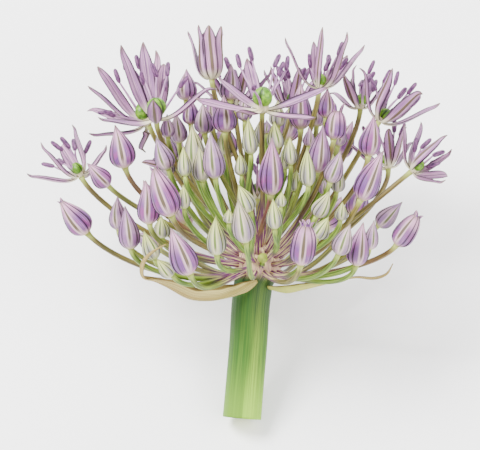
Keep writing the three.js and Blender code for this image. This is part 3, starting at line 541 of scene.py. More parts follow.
def parts(count):
    """Numbers from 0 to 1 in this many equal steps."""
    return [i / count for i in range(count + 1)]


def eased(count):
    """Numbers from 0 to 1 in steps that are small at both ends."""
    return [(1 - math.cos(math.pi * t)) / 2 for t in parts(count)]


def bezier(p0, p1, p2, p3, t):
    s = 1 - t
    return p0 * (s * s * s) + p1 * (3 * s * s * t) + p2 * (3 * s * t * t) + p3 * (t * t * t)


def smooth(knots, t):
    """The height at t of a smooth curve through the knots (t, height)."""
    last = len(knots) - 1
    i = 0
    while i < last - 1 and t > knots[i + 1][0]:
        i += 1
    t0, a = knots[i]
    t1, b = knots[i + 1]
    before = knots[max(0, i - 1)]
    after = knots[min(last, i + 2)]
    leave = (b - before[1]) * (t1 - t0) / (t1 - before[0])
    arrive = (after[1] - a) * (t1 - t0) / (after[0] - t0)
    s = min(1, max(0, (t - t0) / (t1 - t0)))
    bend = s * (1 - s) * (leave * (1 - s) - arrive * s)
    return a + (b - a) * s * s * (3 - 2 * s) + bend


def smooth_point(places, ts, t):
    """The point at t of a smooth curve through places."""
    return Vector([smooth(list(zip(ts, heights)), t) for heights in zip(*places)])


def tangents(centres):
    """The direction of a line of points at each of them."""
    nexts = centres[1:] + centres[-1:]
    befores = centres[:1] + centres[:-1]
    return [(after - before).normalized() for before, after in zip(befores, nexts)]


class Skin:
    """Closed skins of one object. Each face corner knows where it lies across
    and along its petal or stalk, and each point its tone."""

    def __init__(self):
        self.points = []
        self.tones = []
        self.faces = []
        self.uvs = []
        self.slots = []

    def loft(self, rings, columns, alongs, tone=0):
        """rings run anticlockwise about the way they are stacked. Each column
        is the strip after a point of the ring: (across, next across, slot)."""
        count = len(rings[0])
        high = len(self.points)
        bottom = range(high, high + count)
        for ring in rings:
            self.points.extend(ring)
            self.tones.extend([tone] * count)
        for v0, v1 in zip(alongs, alongs[1:]):
            low = high
            high += count
            for i, (u0, u1, slot) in enumerate(columns):
                j = (i + 1) % count
                self.faces.append((low + i, low + j, high + j, high + i))
                self.uvs.extend([(u0, v0), (u1, v0), (u1, v1), (u0, v1)])
                self.slots.append(slot)
        top = range(high, high + count)
        for corners, along in ((bottom[::-1], alongs[0]), (top, alongs[-1])):
            self.faces.append(tuple(corners))
            self.uvs.extend([(0.5, along)] * count)
            self.slots.append(columns[0][2])

    def build(self, name, materials):
        mesh = bpy.data.meshes.new(name)
        mesh.from_pydata([inside_box(world(p)) for p in self.points], [], self.faces)
        layer = mesh.uv_layers.new(name="Skin")
        layer.data.foreach_set("uv", [number for uv in self.uvs for number in uv])
        tone = mesh.attributes.new("tone", "FLOAT", "POINT")
        tone.data.foreach_set("value", self.tones)
        for material in materials:
            mesh.materials.append(material)
        mesh.polygons.foreach_set("material_index", self.slots)
        mesh.polygons.foreach_set("use_smooth", [True] * len(self.slots))
        mesh.validate()
        return linked(name, mesh)


def linked(name, data):
    """A new object in the scene."""
    made = bpy.data.objects.new(name, data)
    bpy.context.scene.collection.objects.link(made)
    return made


def strips(start, end, count, slot=0):
    """The strips of a ring from start to end across, equally wide."""
    edges = [between((start, end), t) for t in parts(count)]
    return [(u0, u1, slot) for u0, u1 in zip(edges, edges[1:])]


def outward_at(along, across, turn):
    """The direction square to along that is turned this far from across."""
    return across * math.cos(turn) + along.cross(across) * math.sin(turn)


def round_ring(centre, along, across, radius, sides):
    """A ring whose radius may be a number or a function of the angle."""
    ring = []
    for i in range(sides):
        turn = i * math.tau / sides
        away = radius(turn) if callable(radius) else radius
        ring.append(centre + outward_at(along, across, turn) * away)
    return ring


def sweep(skin, stations, sides, slot=0, tone=0):
    """A round skin. A station is its place in the material, its centre, the
    way along, a direction across and the radius."""
    rings = [round_ring(*station[1:], sides) for station in stations]
    skin.loft(rings, strips(0, 1, sides, slot), [station[0] for station in stations], tone)


def lobed(radius, count, groove, roundness):
    """The radius of a ring with this many lobes, as a function of the angle."""

    def at(turn):
        lobe = abs(math.cos(count / 2 * turn)) ** roundness
        return radius * (1 - groove + groove * lobe)

    return at


def ribbed(radius, fade):
    """The radius of a ring of the stem, as a function of the angle."""

    def at(turn):
        ribs = [high * math.cos(number * turn + start) for high, number, start in RIBS]
        return radius + fade * sum(ribs)

    return at


def leaf_ring(centre, side, face, half, count, front, back):
    """A ring round a thin leaf: over its front, then under its back. Both are
    functions that give the height from one edge at -1 to the other at 1."""
    xs = [1 - 2 * t for t in parts(count)]
    ring = [(x, front(x)) for x in xs] + [(x, back(x)) for x in xs[-2:0:-1]]
    return [centre + side * (x * half) + face * rise for x, rise in ring]


def unit(v):
    size = math.hypot(*v)
    return [part / size for part in v]


def spread_feet(seats):
    """Spreads the feet of the pedicels over the receptacle, as in the CAD."""
    feet = []
    for side, depth, up in seats:
        reach = math.hypot(side, depth)
        rise = math.atan2(up, reach)
        low = rise - math.radians(FOOT_DROOP) * (1 - rise / (math.pi / 2))
        wide = math.cos(low) / reach
        feet.append([side * wide, depth * wide, math.sin(low)])
    lowest = math.sin(math.radians(LOWEST_FOOT))
    for _ in range(SPREAD_ROUNDS):
        pushes = []
        for foot in feet:
            push = [0, 0, 0]
            for other in feet:
                gap = [a - b for a, b in zip(foot, other)]
                near = sum(part * part for part in gap)
                if 0 < near < SPREAD_RANGE:
                    weight = 1 / (near * near + SPREAD_SOFTNESS)
                    push = [a + b * weight for a, b in zip(push, gap)]
            pushes.append(push)
        for i, push in enumerate(pushes):
            step = SPREAD_STEP * min(1, SPREAD_LIMIT / (math.hypot(*push) + TINY))
            feet[i] = unit([a + b * step for a, b in zip(feet[i], push)])
            if feet[i][2] < lowest:
                feet[i] = unit([*feet[i][:2], lowest])
    return [Vector(foot) for foot in feet]


def add_pedicel(skin, name, foot, seat, axis, end_radius, tone):
    """The stalk from the receptacle to the seat, flared at both ends. It gives
    back the sideways direction at its top."""
    p0 = foot * (RECEPTACLE_RADIUS + SEAT_GAP)
    reach = (seat - p0).length
    p1 = p0 + foot * (SHORT_LEAVE.get(name, LEAVE_REACH) * reach)
    p2 = seat - axis * (ARRIVE_REACH * reach)
    ts = parts(PEDICEL_RINGS)
    centres = [bezier(p0, p1, p2, seat, t) for t in ts]
    centres[0] = foot * (RECEPTACLE_RADIUS - SEAT_GAP)
    ways = [foot] + tangents(centres)[1:-1] + [axis]
    across = square_to(foot, ASIDE)
    stations = []
    for t, centre, along in zip(ts, centres, ways):
        across = square_to(along, across)
        flare = max(0, 1 - t * reach / FLARE_LENGTH)
        cone = max(0, 1 - (1 - t) * reach / CONE_LENGTH) ** 2
        radius = PEDICEL_RADIUS * (1 - flare - cone)
        radius += PEDICEL_FOOT_RADIUS * flare + end_radius * cone
        stations.append((t, centre, along, across, radius))
    sweep(skin, stations, PEDICEL_SIDES, STALK, tone)
    return across


def bud_columns():
    """The strips round a bud: three outer petals that overlap three inner."""
    outer = strips(0, 1, OUTER_STRIPS, BUD) + [(1, 1, MARGIN)]
    inner = strips(*INNER_FLANK, INNER_STRIPS, BUD) + [(0, 0, MARGIN)]
    return (outer + inner) * 3


def bud_corners():
    """The angle and the height of each corner round a bud."""
    corners = []
    for middle in (0, 120, 240):
        for x in [2 * u - 1 for u in parts(OUTER_STRIPS)]:
            keel = KEEL_HEIGHT * max(0, 1 - abs(x) / KEEL_WIDTH)
            height = OUTER_HEIGHT + keel - EDGE_DROP * x ** 6
            corners.append((math.radians(middle + OUTER_HALF * x), height))
        for x in [2 * u - 1 for u in parts(INNER_STRIPS)]:
            angle = middle + 60 + (60 - OUTER_HALF) * x
            corners.append((math.radians(angle), OUTER_HEIGHT - INNER_DROP))
    return corners


def bud_radius(t, blunt):
    return (1 - blunt) * smooth(BUD_OUTLINE, t) + blunt * smooth(BLUNT_OUTLINE, t)


def add_bud(skin, name, foot, seat, tip, width, tone, stalk_tone, parted):
    """A closed bud of six petals on its stalk, with a petal to the front."""
    axis = (tip - seat).normalized()
    length = (tip - seat).length
    half = width / 2
    blunt = 0
    if parted:
        blunt = parted[0]
        length -= parted[2] / 2
    end_radius = half * BUD_OUTLINE[0][1] * BUD_FOOT_FIT
    across = add_pedicel(skin, name, foot, seat, axis, end_radius, stalk_tone)
    spin = math.atan2(FRONT.dot(axis.cross(across)), FRONT.dot(across)) + swing(BUD_SPIN)
    twist = swing(BUD_TWIST)
    lean = Vector((swing(1), swing(1), swing(1)))
    lean = square_to(axis, lean) * (BUD_LEAN * width)
    corners = bud_corners()
    ts = eased(BUD_RINGS)
    rings = []
    for t in ts:
        radius = half * bud_radius(t, blunt)
        centre = seat + axis * (t * length) + lean * (math.sin(math.pi * t) * t)
        ring = []
        for angle, height in corners:
            away = outward_at(axis, across, angle + spin + twist * t)
            ring.append(centre + away * (radius * height))
        rings.append(ring)
    skin.loft(rings, bud_columns(), ts, tone)
    if parted:
        top = seat + axis * (length * ENDS_FROM)
        add_petal_ends(skin, top, axis, across, half * bud_radius(1, blunt), parted, tone)


def add_petal_ends(skin, top, axis, across, radius, parted, tone):
    """The loose ends of the petals at the tip of a bud that parts."""
    _, count, length, bend = parted
    start = chance.uniform(0, math.tau)
    half = min(1, radius * ENDS_WIDTH)
    ts = parts(ENDS_RINGS)
    halves = [half * (1 - t ** ENDS_TAPER) + ENDS_TIP for t in ts]
    for i in range(count):
        turn = start + i * math.tau / count + swing(ENDS_SPREAD)
        outward = outward_at(axis, across, turn)
        base = top + outward * (radius * ENDS_ROOT)
        knee = base + axis * (length * ENDS_KNEE)
        tip = top + axis * (length * chance.uniform(*ENDS_LENGTHS))
        tip += outward * (radius + bend)
        centres = [
            base * ((1 - t) * (1 - t)) + knee * (2 * t * (1 - t)) + tip * (t * t) for t in ts
        ]
        twist = swing(ENDS_TWIST)
        add_blade(skin, centres, outward, halves, ENDS_CHANNEL, twist, (BUD, BUD), tone)


def add_blade(skin, centres, rear, halves, channel, twist, slots, tone):
    """A thin petal along centres, channelled on its face and keeled on its
    back, which is roughly on the side of rear."""
    ts = parts(len(centres) - 1)
    rings = []
    for t, centre, along, half in zip(ts, centres, tangents(centres), halves):
        turn = Matrix.Rotation(twist * t * t, 3, along)
        side = turn @ along.cross(square_to(along, rear))
        thin = min(1, half / BLADE_FULL_HALF)
        thick = BLADE_THICKNESS * thin
        fold = channel * between(BLADE_FOLDS, t) * half

        def front(x):
            return fold * x * x + BLADE_CROWN * thick * (1 - x * x)

        def back(x):
            keel = BLADE_KEEL * thin * max(0, 1 - abs(x) / BLADE_KEEL_WIDTH)
            return fold * x * x - thick * (1 - x * x) - keel

        face = along.cross(side)
        rings.append(leaf_ring(centre, side, face, half, BLADE_STRIPS, front, back))
    columns = strips(1, 0, BLADE_STRIPS, slots[0]) + strips(0, 1, BLADE_STRIPS, slots[1])
    skin.loft(rings, columns, ts, tone)


def add_tepal(skin, seat, axis, tip, opening, width):
    """A petal from the flower's base to its tip, bulging out in a cup."""
    tone = chance.uniform(0, 1)
    outward = square_to(axis, tip - seat)
    rear = outward - axis
    p0 = seat + outward * TEPAL_ROOT[0] + axis * TEPAL_ROOT[1]
    reach = (tip - p0).length
    straight = (tip - p0).normalized()
    closed = (STRAIGHT_OPENING - opening) / OPENING_RANGE
    below = square_to(straight, rear)
    leave = (straight + below * (TEPAL_BULGE + CUP_BULGE * closed)).normalized()
    arrive = (straight + below * (CUP_FLARE * closed)).normalized()
    p1 = p0 + leave * (TEPAL_LEAVE_REACH * reach)
    p2 = tip - arrive * (TEPAL_ARRIVE_REACH * reach)
    hook = chance.choice((-1, 1, 1)) * chance.uniform(*HOOKS)
    sway = swing(TEPAL_SWAY)
    phase = chance.uniform(0, math.tau)
    ts = parts(TEPAL_RINGS)
    centres = []
    for t in ts:
        before, centre, after = [bezier(p0, p1, p2, tip, t + near) for near in (-NEAR, 0, NEAR)]
        along = (after - before).normalized()
        face = -square_to(along, rear)
        end = max(0, (t - HOOK_FROM) / (1 - HOOK_FROM))
        swayed = along.cross(face) * (sway * math.sin(math.pi * t + phase) * t)
        centres.append(centre + face * (hook * end * end) + swayed)
    waves = [1 + EDGE_WAVE * math.sin(EDGE_WAVES * t + phase) for t in ts]
    halves = [width / 2 * smooth(TEPAL_OUTLINE, t) * wave for t, wave in zip(ts, waves)]
    channel = chance.uniform(*TEPAL_CHANNELS)
    twist = swing(TEPAL_TWIST)
    add_blade(skin, centres, rear, halves, channel, twist, (FACE, BACK), tone)


def add_stamen(skin, seat, axis, end):
    """A filament with a long two-lobed anther at its end."""
    outward = square_to(axis, end - seat)
    start = seat + axis * STAMEN_ROOT[1] + outward * STAMEN_ROOT[0]
    along = (end - start).normalized()
    side = along.cross(outward).normalized()
    length = (end - start).length - ANTHER_LENGTH
    bow = swing(FILAMENT_BOW)
    stations = []
    for t in parts(FILAMENT_RINGS):
        centre = start + along * (length * t) + side * (bow * math.sin(math.pi * t))
        stations.append((t, centre, along, side, between(FILAMENT_RADII, t)))
    sweep(skin, stations, FILAMENT_SIDES, FILAMENT)
    tilt = Matrix.Rotation(swing(ANTHER_TILT), 3, side)
    turn = Matrix.Rotation(swing(ANTHER_TILT), 3, along.cross(side))
    way = (tilt @ turn @ along).normalized()
    flat = square_to(way, side)
    base = centre - way * ANTHER_HEEL
    stations = []
    for t, wide in ANTHER_OUTLINE:
        radius = lobed(ANTHER_RADIUS * wide, 2, ANTHER_GROOVE, ANTHER_LOBE)
        stations.append((t, base + way * (ANTHER_BODY * t), way, flat, radius))
    sweep(skin, stations, ANTHER_SIDES, ANTHER)


def add_ovary(skin, seat, axis, across, grown):
    """The pale cup that the petals stand on, and the three-lobed ovary."""
    stations = []
    for t, (height, radius) in zip(parts(len(CUP_OUTLINE) - 1), CUP_OUTLINE):
        stations.append((t, seat + axis * (height * grown), axis, across, radius * grown))
    sweep(skin, stations, CUP_SIDES, CUP)
    stations = []
    for t in eased(OVARY_RINGS):
        height = between((OVARY_OUTLINE[0][0], OVARY_OUTLINE[-1][0]), t)
        groove = OVARY_GROOVE * min(1, 3 * t)
        radius = lobed(smooth(OVARY_OUTLINE, height) * grown, 3, groove, OVARY_LOBE)
        stations.append((t, seat + axis * (height * grown), axis, across, radius))
    sweep(skin, stations, OVARY_SIDES, OVARY)


def evenly_round(seat, axis, spin, opening, length):
    """Six points evenly round the flower's axis, each as far from the seat."""
    first = square_to(axis, Vector((0, -1, TINY)))
    middle = seat + axis * (length * math.cos(math.radians(opening)))
    away = first * (length * math.sin(math.radians(opening)))
    turns = [math.radians(spin + i * 60) for i in range(6)]
    return [middle + Matrix.Rotation(turn, 3, axis) @ away for turn in turns]


def add_flower(skin, name, foot, seat, facing, spin, opening, size, grown):
    """A flower of six petals and six stamens on its stalk."""
    axis = facing.normalized()
    across = add_pedicel(skin, name, foot, seat, axis, *FLOWER_STALK)
    add_ovary(skin, seat, axis, across, grown)
    even_tips = evenly_round(seat, axis, spin, opening, TEPAL_LENGTH * size)
    shown = min(1, opening / FULL_STAMEN_OPENING)
    stamen = STAMEN_ROOT[1] + FILAMENT_LENGTH * size * shown + ANTHER_LENGTH
    even_ends = evenly_round(seat, axis, spin + 30, min(STAMEN_SPREAD, opening / 2), stamen)
    rolled = ROLLED_TEPALS.get(name, [])
    for i, tip in enumerate(TEPAL_TIPS.get(name, even_tips)):
        width = TEPAL_WIDTH * size * (ROLLED_WIDTH if i in rolled else 1)
        add_tepal(skin, seat, axis, Vector(tip), opening, width)
    for end in ANTHER_ENDS.get(name, even_ends):
        add_stamen(skin, seat, axis, Vector(end))


def add_scape(skin):
    """The ribbed stem, from its cut end to the receptacle."""
    places = [Vector(station[:3]) for station in STEM_STATIONS]
    radii = [station[2:] for station in STEM_STATIONS]
    ups = [up for up, _ in radii]
    first = (places[1] - places[0]).normalized()
    stations = []
    for part in CUT_RINGS:
        centre = places[0] + first * (CUT_DIP * (1 - part * part))
        stations.append((part - 1, centre, first, square_to(first, FRONT), radii[0][1] * part))
    ts = parts(STEM_RINGS)
    heights = [between((ups[0], ups[-1]), t) for t in ts]
    centres = [smooth_point(places, ups, up) for up in heights]
    for t, up, centre, along in zip(ts, heights, centres, tangents(centres)):
        fade = min(1, (ups[-1] - up) / RIB_FADE)
        radius = ribbed(smooth(radii, up) - STEM_INSET, fade)
        stations.append((t, centre, along, square_to(along, FRONT), radius))
    upright = Vector((0, 0, 1))
    for latitude in DOME_LATITUDES:
        along = DOME_START + (latitude - DOME_LATITUDES[0]) / DOME_SPAN
        centre = upright * (RECEPTACLE_RADIUS * math.sin(math.radians(latitude)))
        radius = RECEPTACLE_RADIUS * math.cos(math.radians(latitude))
        stations.append((along, centre, upright, FRONT, radius))
    sweep(skin, stations, STEM_SIDES)


def add_bract(skin, stations, green):
    """A papery boat-shaped bract that thins to a thread."""
    ts = parts(len(stations) - 1)
    places, halves, hollows, faces = zip(*stations)
    faces = [Vector(face).normalized() for face in faces]
    steps = parts(BRACT_RINGS)
    centres = [smooth_point(places, ts, t) for t in steps]
    rings = []
    for t, centre, along in zip(steps, centres, tangents(centres)):
        face = square_to(along, smooth_point(faces, ts, t))
        half = max(BRACT_THREAD, smooth(list(zip(ts, halves)), t))
        waves = [high * math.sin(number * t + start) for high, number, start in BRACT_WAVES]
        half *= 1 + sum(waves)
        hollow = max(0, smooth(list(zip(ts, hollows)), t))
        thick = min(BRACT_THICKNESS, half * BRACT_THIN)

        def inner(x):
            return hollow * abs(x) ** BRACT_CURL

        def outer(x):
            return inner(x) - thick * (1 - x * x) - BRACT_INSET

        side = along.cross(face)
        rings.append(leaf_ring(centre, side, face, half, BRACT_STRIPS, outer, inner))
    skin.loft(rings, strips(0, 1, BRACT_STRIPS) + strips(1, 0, BRACT_STRIPS), steps, green)


def rgb(colour):
    """A screen colour from 0 to 255 as a deepened linear colour. What isn't a
    tuple stays as it is."""
    if not isinstance(colour, tuple):
        return colour
    linear = []
    for value, gain in zip(colour, COLOUR_GAIN):
        part = value / 255
        part = part / 12.92 if part <= 0.04045 else ((part + 0.055) / 1.055) ** 2.4
        linear.append(gain * part ** COLOUR_DEPTH)
    return (*linear, 1)


class Graph:
    """A material that is painted in layers, and short names for the shader
    nodes that it is made of. A colour is a node's output or (red, green,
    blue) from 0 to 255. A mask is a number or a node's output, 0 where
    nothing shows and 1 where all does, or (value, low, high) for a smooth
    step. Places are parts of the width (across) and of the length (along)."""

    def __init__(self, name, roughness):
        self.material = bpy.data.materials.new(name)
        self.material.use_nodes = True
        self.nodes = self.material.node_tree.nodes
        self.links = self.material.node_tree.links
        self.shader = self.nodes["Principled BSDF"]
        self.shader.inputs["Roughness"].default_value = roughness
        self.shader.inputs["Specular IOR Level"].default_value = 0.35
        self.uv = self.add("UVMap", {}, uv_map="Skin").outputs[0]
        place = self.add("SeparateXYZ", {0: self.uv}).outputs
        self.across = place[0]
        self.along = place[1]
        self.tone = self.add("Attribute", {}, attribute_name="tone").outputs["Fac"]
        self.body = None

    def add(self, kind, inputs, **settings):
        """A new node with these settings, and values or links on its inputs."""
        node = self.nodes.new("ShaderNode" + kind)
        for name, value in settings.items():
            setattr(node, name, value)
        for key, value in inputs.items():
            if isinstance(value, bpy.types.NodeSocket):
                self.links.new(value, node.inputs[key])
            else:
                node.inputs[key].default_value = value
        return node

    def math(self, operation, a, b=0):
        return self.add("Math", {0: a, 1: b}, operation=operation).outputs[0]

    def away_from(self, middle):
        """How far across from a middle, on both sides of it."""
        return self.math("ABSOLUTE", self.math("SUBTRACT", self.across, middle))

    def mask(self, mask):
        """A mask as it is, or the step that a tuple stands for: 0 below low, 1
        above high, smooth between. low may be above high."""
        if not isinstance(mask, tuple):
            return mask
        value, low, high = mask
        inputs = {"Value": value, "From Min": min(low, high), "From Max": max(low, high)}
        inputs |= {"To Min": int(low > high), "To Max": int(low <= high)}
        return self.add("MapRange", inputs, interpolation_type="SMOOTHSTEP").outputs[0]

    def times(self, *masks):
        product, *others = map(self.mask, masks)
        for other in others:
            product = self.math("MULTIPLY", product, other)
        return product

    def mix(self, mask, under, over):
        inputs = {0: self.mask(mask), 6: rgb(under), 7: rgb(over)}
        return self.add("Mix", inputs, data_type="RGBA").outputs[2]

    def lay(self, colour, *masks):
        """Lays a colour over the body, as strongly as the masks' product."""
        self.body = self.mix(self.times(*masks), self.body, colour)

    def noise(self, place, scale, detail):
        inputs = {"Vector": place, "Scale": scale, "Detail": detail}
        return self.add("TexNoise", inputs).outputs[0]

    def streaks(self, across_scale, along_scale, detail=3):
        """Noise drawn out along the petal or stalk."""
        inputs = {"Vector": self.uv, "Scale": (across_scale, along_scale, 1)}
        return self.noise(self.add("Mapping", inputs).outputs[0], 1, detail)

    def grain(self, scale, detail=3):
        """Noise in the object's own space."""
        return self.noise(self.add("TexCoord", {}).outputs["Object"], scale, detail)

    def finish(self, height, strength=0.2, distance=0.0002):
        """Joins the body and a bump with this height to the shader."""
        inputs = {"Strength": strength, "Distance": distance, "Height": height}
        bump = self.add("Bump", inputs).outputs[0]
        self.links.new(bump, self.shader.inputs["Normal"])
        self.links.new(self.body, self.shader.inputs["Base Color"])
        return self.material


def bud_material():
    """Bud petals: an olive midrib between pale bands, purple on the lower
    flanks that fades to pink at the tip, and a dark edge."""
    g = Graph("bud_petal", 0.55)
    off = g.times(g.away_from(0.5), 2)
    streak = g.streaks(26, 1.6)
    hatch = g.streaks(60, 2.4, 4)
    patch = g.grain(240, 2)
    # Mature petals
    pink = g.mix((patch, 0.35, 0.7), (214, 172, 212), (192, 146, 196))
    deep = g.times((g.along, 0.02, 0.18), (g.along, 0.86, 0.4))
    deep = g.times(deep, (off, 0.1, 0.44), (streak, 0.12, 0.5))
    violet = g.mix((patch, 0.45, 0.62), (116, 66, 154), (146, 70, 152))
    purple = g.mix(g.times(deep, 0.92), pink, violet)
    # Young petals
    pale = g.mix((g.along, 0.1, 0.7), (204, 210, 178), (206, 216, 150))
    grey = g.times((g.along, 0.02, 0.16), (g.along, 0.8, 0.35), (off, 0.26, 0.7), 0.8)
    pale = g.mix(grey, pale, (142, 134, 172))
    lilac = g.mix((patch, 0.35, 0.65), (212, 186, 210), (172, 142, 190))
    lilac = g.mix(g.times(deep, 0.5), lilac, (128, 92, 158))
    g.body = g.mix((g.tone, 0.2, 0.5), pale, lilac)
    g.lay(purple, (g.tone, 0.5, 0.85))
    # Pale bands beside the midrib, which fade towards the edges and the tip
    middle = g.times((g.along, 0.02, 0.14), (g.along, 1, 0.55))
    g.lay((240, 226, 230), (off, 0.42, 0.14), middle, 0.5)
    shadow = g.mix((g.tone, 0.2, 0.6), (126, 128, 96), (100, 66, 124))
    g.lay(shadow, (hatch, 0.48, 0.62), 0.42)
    # Midrib, green foot, green tip and dark edge
    lens = g.times(g.along, g.math("SUBTRACT", 1, g.along), 0.4)
    rib_mask = (g.math("SUBTRACT", off, lens), 0.1, 0.03)
    rib_green = g.mix((g.tone, 0.3, 0.7), (104, 134, 44), (92, 86, 44))
    g.lay(rib_green, rib_mask, (g.along, 0.03, 0.3), 0.92)
    foot = g.mix((g.tone, 0.2, 0.8), (190, 208, 124), (204, 198, 156))
    g.lay(foot, (g.along, 0.1, 0), 0.85)
    g.lay((120, 118, 70), (g.along, 0.84, 1), 0.6)
    edge = g.mix((g.tone, 0.2, 0.7), (88, 98, 58), (66, 40, 72))
    g.lay(edge, (off, 0.76, 0.9), 0.95)
    # The rudiment, whose tone is below 0, is plain green
    plain = g.mix((patch, 0.35, 0.65), (206, 216, 128), (168, 186, 90))
    g.lay(plain, (g.tone, -0.2, -0.8))
    return g.finish(streak, 0.3, PETAL_BUMP)


def margin_material():
    """The thin edges of the outer petals."""
    g = Graph("bud_margin", 0.6)
    streak = g.streaks(3, 20)
    g.body = g.mix((g.tone, 0.2, 0.7), (74, 84, 48), (58, 36, 64))
    g.lay((96, 78, 94), (streak, 0.5, 0.8))
    return g.finish(streak)


def petal_material(name, back):
    """Open petals: lilac with a pale foot and dark edges. On the back the
    midrib is broad and olive, on the face it is a thin purple line."""
    g = Graph(name, 0.55)
    off = g.times(g.away_from(0.5), 2)
    streak = g.streaks(20, 1.4)
    fresh = g.mix(g.tone, (216, 178, 216), (196, 158, 206))
    shaded = g.mix(g.tone, (160, 108, 170), (138, 94, 160))
    g.body = g.mix(g.times((streak, 0.38, 0.6), 0.85), fresh, shaded)
    g.lay((132, 84, 156), (g.grain(180, 2), 0.5, 0.72), 0.4)
    g.lay((238, 214, 232), (off, 0.6, 0.2), (streak, 0.55, 0.4), 0.38)
    g.lay((112, 70, 132), (g.streaks(54, 2.2, 4), 0.5, 0.64), 0.35)
    g.lay((232, 230, 214), (g.along, 0.3, 0.08), 0.9)
    if back:
        g.lay((104, 94, 52), (off, 0.3, 0.14), (g.along, 0.04, 0.3), 0.92)
    else:
        g.lay((104, 66, 122), (off, 0.16, 0.05), (g.along, 0.05, 0.4), 0.75)
    g.lay((118, 104, 72), (g.along, 0.86, 1), 0.75)
    g.lay((60, 34, 64), (off, 0.68, 0.86), 0.92)
    return g.finish(streak, 0.35, PETAL_BUMP)


def stalk_material():
    """Pedicels: cream and violet at the foot, green or olive brown, pale green
    on top."""
    g = Graph("stalk_skin", 0.5)
    streak = g.streaks(9, 3)
    young = g.mix((streak, 0.35, 0.62), (158, 186, 88), (98, 130, 50))
    old = g.mix((g.grain(120, 2), 0.38, 0.58), (150, 126, 86), (134, 88, 84))
    old = g.mix(g.times((streak, 0.4, 0.62), 0.7), old, (78, 60, 44))
    g.body = g.mix(g.tone, young, old)
    foot = g.mix((streak, 0.4, 0.53), (248, 236, 190), (138, 58, 154))
    g.lay(foot, (g.along, 0.4, 0.06), 0.92)
    g.lay((190, 204, 128), (g.along, 0.88, 1), 0.75)
    return g.finish(streak, 0.3)


def filament_material():
    g = Graph("filament_skin", 0.5)
    streak = g.streaks(4, 3)
    g.body = g.mix((streak, 0.35, 0.65), (198, 166, 206), (146, 108, 164))
    g.lay((232, 228, 224), (g.along, 0.4, 0))
    return g.finish(streak)


def anther_material():
    """Anthers: dark lilac, with a darker seam between the lobes."""
    g = Graph("anther_skin", 0.6)
    streak = g.streaks(5, 3)
    g.body = g.mix((streak, 0.35, 0.65), (144, 102, 152), (96, 62, 112))
    g.lay((50, 28, 64), (g.away_from(0.25), 0.05, 0), 0.8)
    return g.finish(streak, 0.4)


def ovary_material():
    """Ovary: green, with dark grooves between its lobes and a pale foot."""
    g = Graph("ovary_skin", 0.4)
    grain = g.grain(900)
    lobe = g.math("ABSOLUTE", g.math("COSINE", g.times(g.across, 1.5 * math.tau)))
    g.body = g.mix((grain, 0.35, 0.65), (140, 182, 66), (98, 142, 44))
    g.lay((46, 74, 22), (lobe, 0.55, 0.08), 0.9)
    g.lay((218, 224, 190), (g.along, 0.2, 0), 0.8)
    return g.finish(grain, 0.3)


def cup_material():
    g = Graph("flower_cup", 0.5)
    streak = g.streaks(18, 2)
    g.body = g.mix((streak, 0.35, 0.65), (232, 228, 214), (204, 198, 176))
    g.lay((176, 180, 112), (g.along, 0.5, 0))
    return g.finish(streak)


def scape_material():
    """Stem green with fine streaks, a pale cut end and a cream and violet
    receptacle."""
    g = Graph("scape_skin", 0.62)
    fine = g.streaks(230, 1.6, 4)
    wide = g.streaks(60, 0.8, 2)
    g.body = g.mix((wide, 0.36, 0.66), (86, 136, 14), (130, 172, 38))
    g.lay((46, 84, 6), (fine, 0.44, 0.6), 0.7)
    # A painted highlight stripe, a dark top, a paler foot, and painted shade on the flanks away
    # from the highlight
    highlight_distance = g.away_from(0.07)
    # Painted highlight: a light stripe down the stem
    g.lay((176, 204, 76), (highlight_distance, 0.07, 0), (fine, 0.6, 0.45), 0.4)
    g.lay((48, 84, 4), (g.along, 0.4, 0.95), 0.78)
    g.lay((184, 226, 84), (g.along, 0.5, 0), (g.along, -0.01, 0), 0.55)
    # Painted shade on the flanks of the stem, away from the painted highlight
    g.lay((58, 112, 10), (highlight_distance, 0.1, 0.24), 0.5)
    crown = g.mix((fine, 0.42, 0.58), (244, 230, 190), (168, 96, 160))
    g.lay(crown, (g.along, 1.02, 1.2))
    # The cut end, which is below 0 along the stem
    pith = g.mix((g.grain(1500), 0.4, 0.62), (226, 232, 190), (186, 206, 136))
    end = g.mix((g.along, -0.14, -0.06), pith, (128, 166, 84))
    g.lay(end, (g.along, -0.005, -0.03))
    return g.finish(fine, 0.35)


def bract_material():
    """Papery spathe: tan with close lengthwise veins, greener at the foot."""
    g = Graph("spathe_paper", 0.8)
    fine = g.streaks(60, 1.5, 4)
    wide = g.streaks(12, 1, 2)
    g.body = g.mix((wide, 0.36, 0.64), (216, 204, 158), (180, 160, 108))
    g.lay((116, 98, 60), (fine, 0.44, 0.58), 0.85)
    g.lay((196, 204, 122), (g.along, 0.62, 0.1), g.tone)
    g.lay((112, 92, 58), (g.times(g.away_from(0.5), 2), 0.8, 0.96), 0.7)
    return g.finish(fine, 0.6)


def floor_material():
    material = bpy.data.materials.new("floor_white")
    material.use_nodes = True
    shader = material.node_tree.nodes["Principled BSDF"]
    shader.inputs["Base Color"].default_value = (FLOOR_WHITE, FLOOR_WHITE, FLOOR_WHITE, 1)
    shader.inputs["Roughness"].default_value = 0.9
    return material


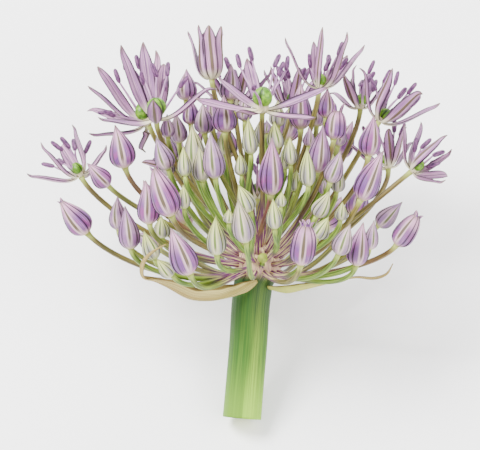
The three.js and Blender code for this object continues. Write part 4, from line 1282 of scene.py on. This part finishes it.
def set_stage():
    """A pale floor and soft studio light."""
    mesh = bpy.data.meshes.new("floor")
    signs = [(-1, -1), (1, -1), (1, 1), (-1, 1)]
    corners = [(FLOOR_HALF * x, FLOOR_HALF * y, 0) for x, y in signs]
    mesh.from_pydata(corners, [], [(0, 1, 2, 3)])
    mesh.materials.append(floor_material())
    floor = linked("floor", mesh)
    for name, place, size, power in LAMPS:
        data = bpy.data.lights.new(name, "AREA")
        data.size = size
        data.energy = power
        lamp = linked(name, data)
        lamp.location = place
        lamp.rotation_euler = (Vector(place) - LAMPS_AIM).to_track_quat("Z", "Y").to_euler()
    surround = bpy.data.worlds.new("surround")
    surround.use_nodes = True
    back = surround.node_tree.nodes["Background"]
    back.inputs["Color"].default_value = (1, 1, 1, 1)
    back.inputs["Strength"].default_value = SURROUND
    bpy.context.scene.world = surround


def set_camera():
    """The photograph looks square to the plant's axis, so the camera looks
    down on the lying head."""
    data = bpy.data.cameras.new("camera")
    data.lens = LENS
    data.sensor_width = SENSOR
    data.clip_start = 0.05
    data.clip_end = 20
    camera = linked("camera", data)
    away = IMAGE_WIDTH * LENS / SENSOR * MM_PER_PIXEL * MM
    camera.location = world(AIM) + LYING @ FRONT * away
    camera.rotation_euler = (AXIS_ANGLE, 0, 0)
    bpy.context.scene.camera = camera


def place(skin, node, materials, slot):
    made = skin.build(node + "_look", materials)
    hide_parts(node)
    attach(made, "root")


def build_plant():
    slots = {item["node"]: item["material_slot"] for item in frame["record"]["subparts"]}
    flower = [
        stalk_material(), bud_material(), margin_material(),
        petal_material("petal_face", False), petal_material("petal_back", True),
        filament_material(), anther_material(), ovary_material(), cup_material(),
    ]
    skin = Skin()
    add_scape(skin)
    place(skin, "scape", [scape_material()], slots["scape"])
    paper = bract_material()
    for name, stations in BRACTS.items():
        skin = Skin()
        add_bract(skin, stations, BRACT_GREEN[name])
        place(skin, name, [paper], slots[name])

    # The foot of a node belongs to its first flower, or to its buds' middle
    names = list(dict.fromkeys(row[0] for row in BUDS + FLOWERS))
    seats = []
    for name in names:
        own = [row[1] for row in FLOWERS if row[0] == name][:1]
        own = own or [row[1] for row in BUDS if row[0] == name]
        seats.append([sum(numbers) / len(own) for numbers in zip(*own)])
    for name, foot in zip(names, spread_feet(seats)):
        skin = Skin()
        parted = PARTED.get(name)
        for node, seat, tip, *rest in BUDS:
            if node == name:
                add_bud(skin, name, foot, Vector(seat), Vector(tip), *rest, parted)
                parted = None
        for node, seat, facing, *rest in FLOWERS:
            if node == name:
                add_flower(skin, name, foot, Vector(seat), Vector(facing), *rest)
        place(skin, name, flower, slots[name])


set_camera()
set_stage()
build_plant()

bpy.context.view_layer.update()
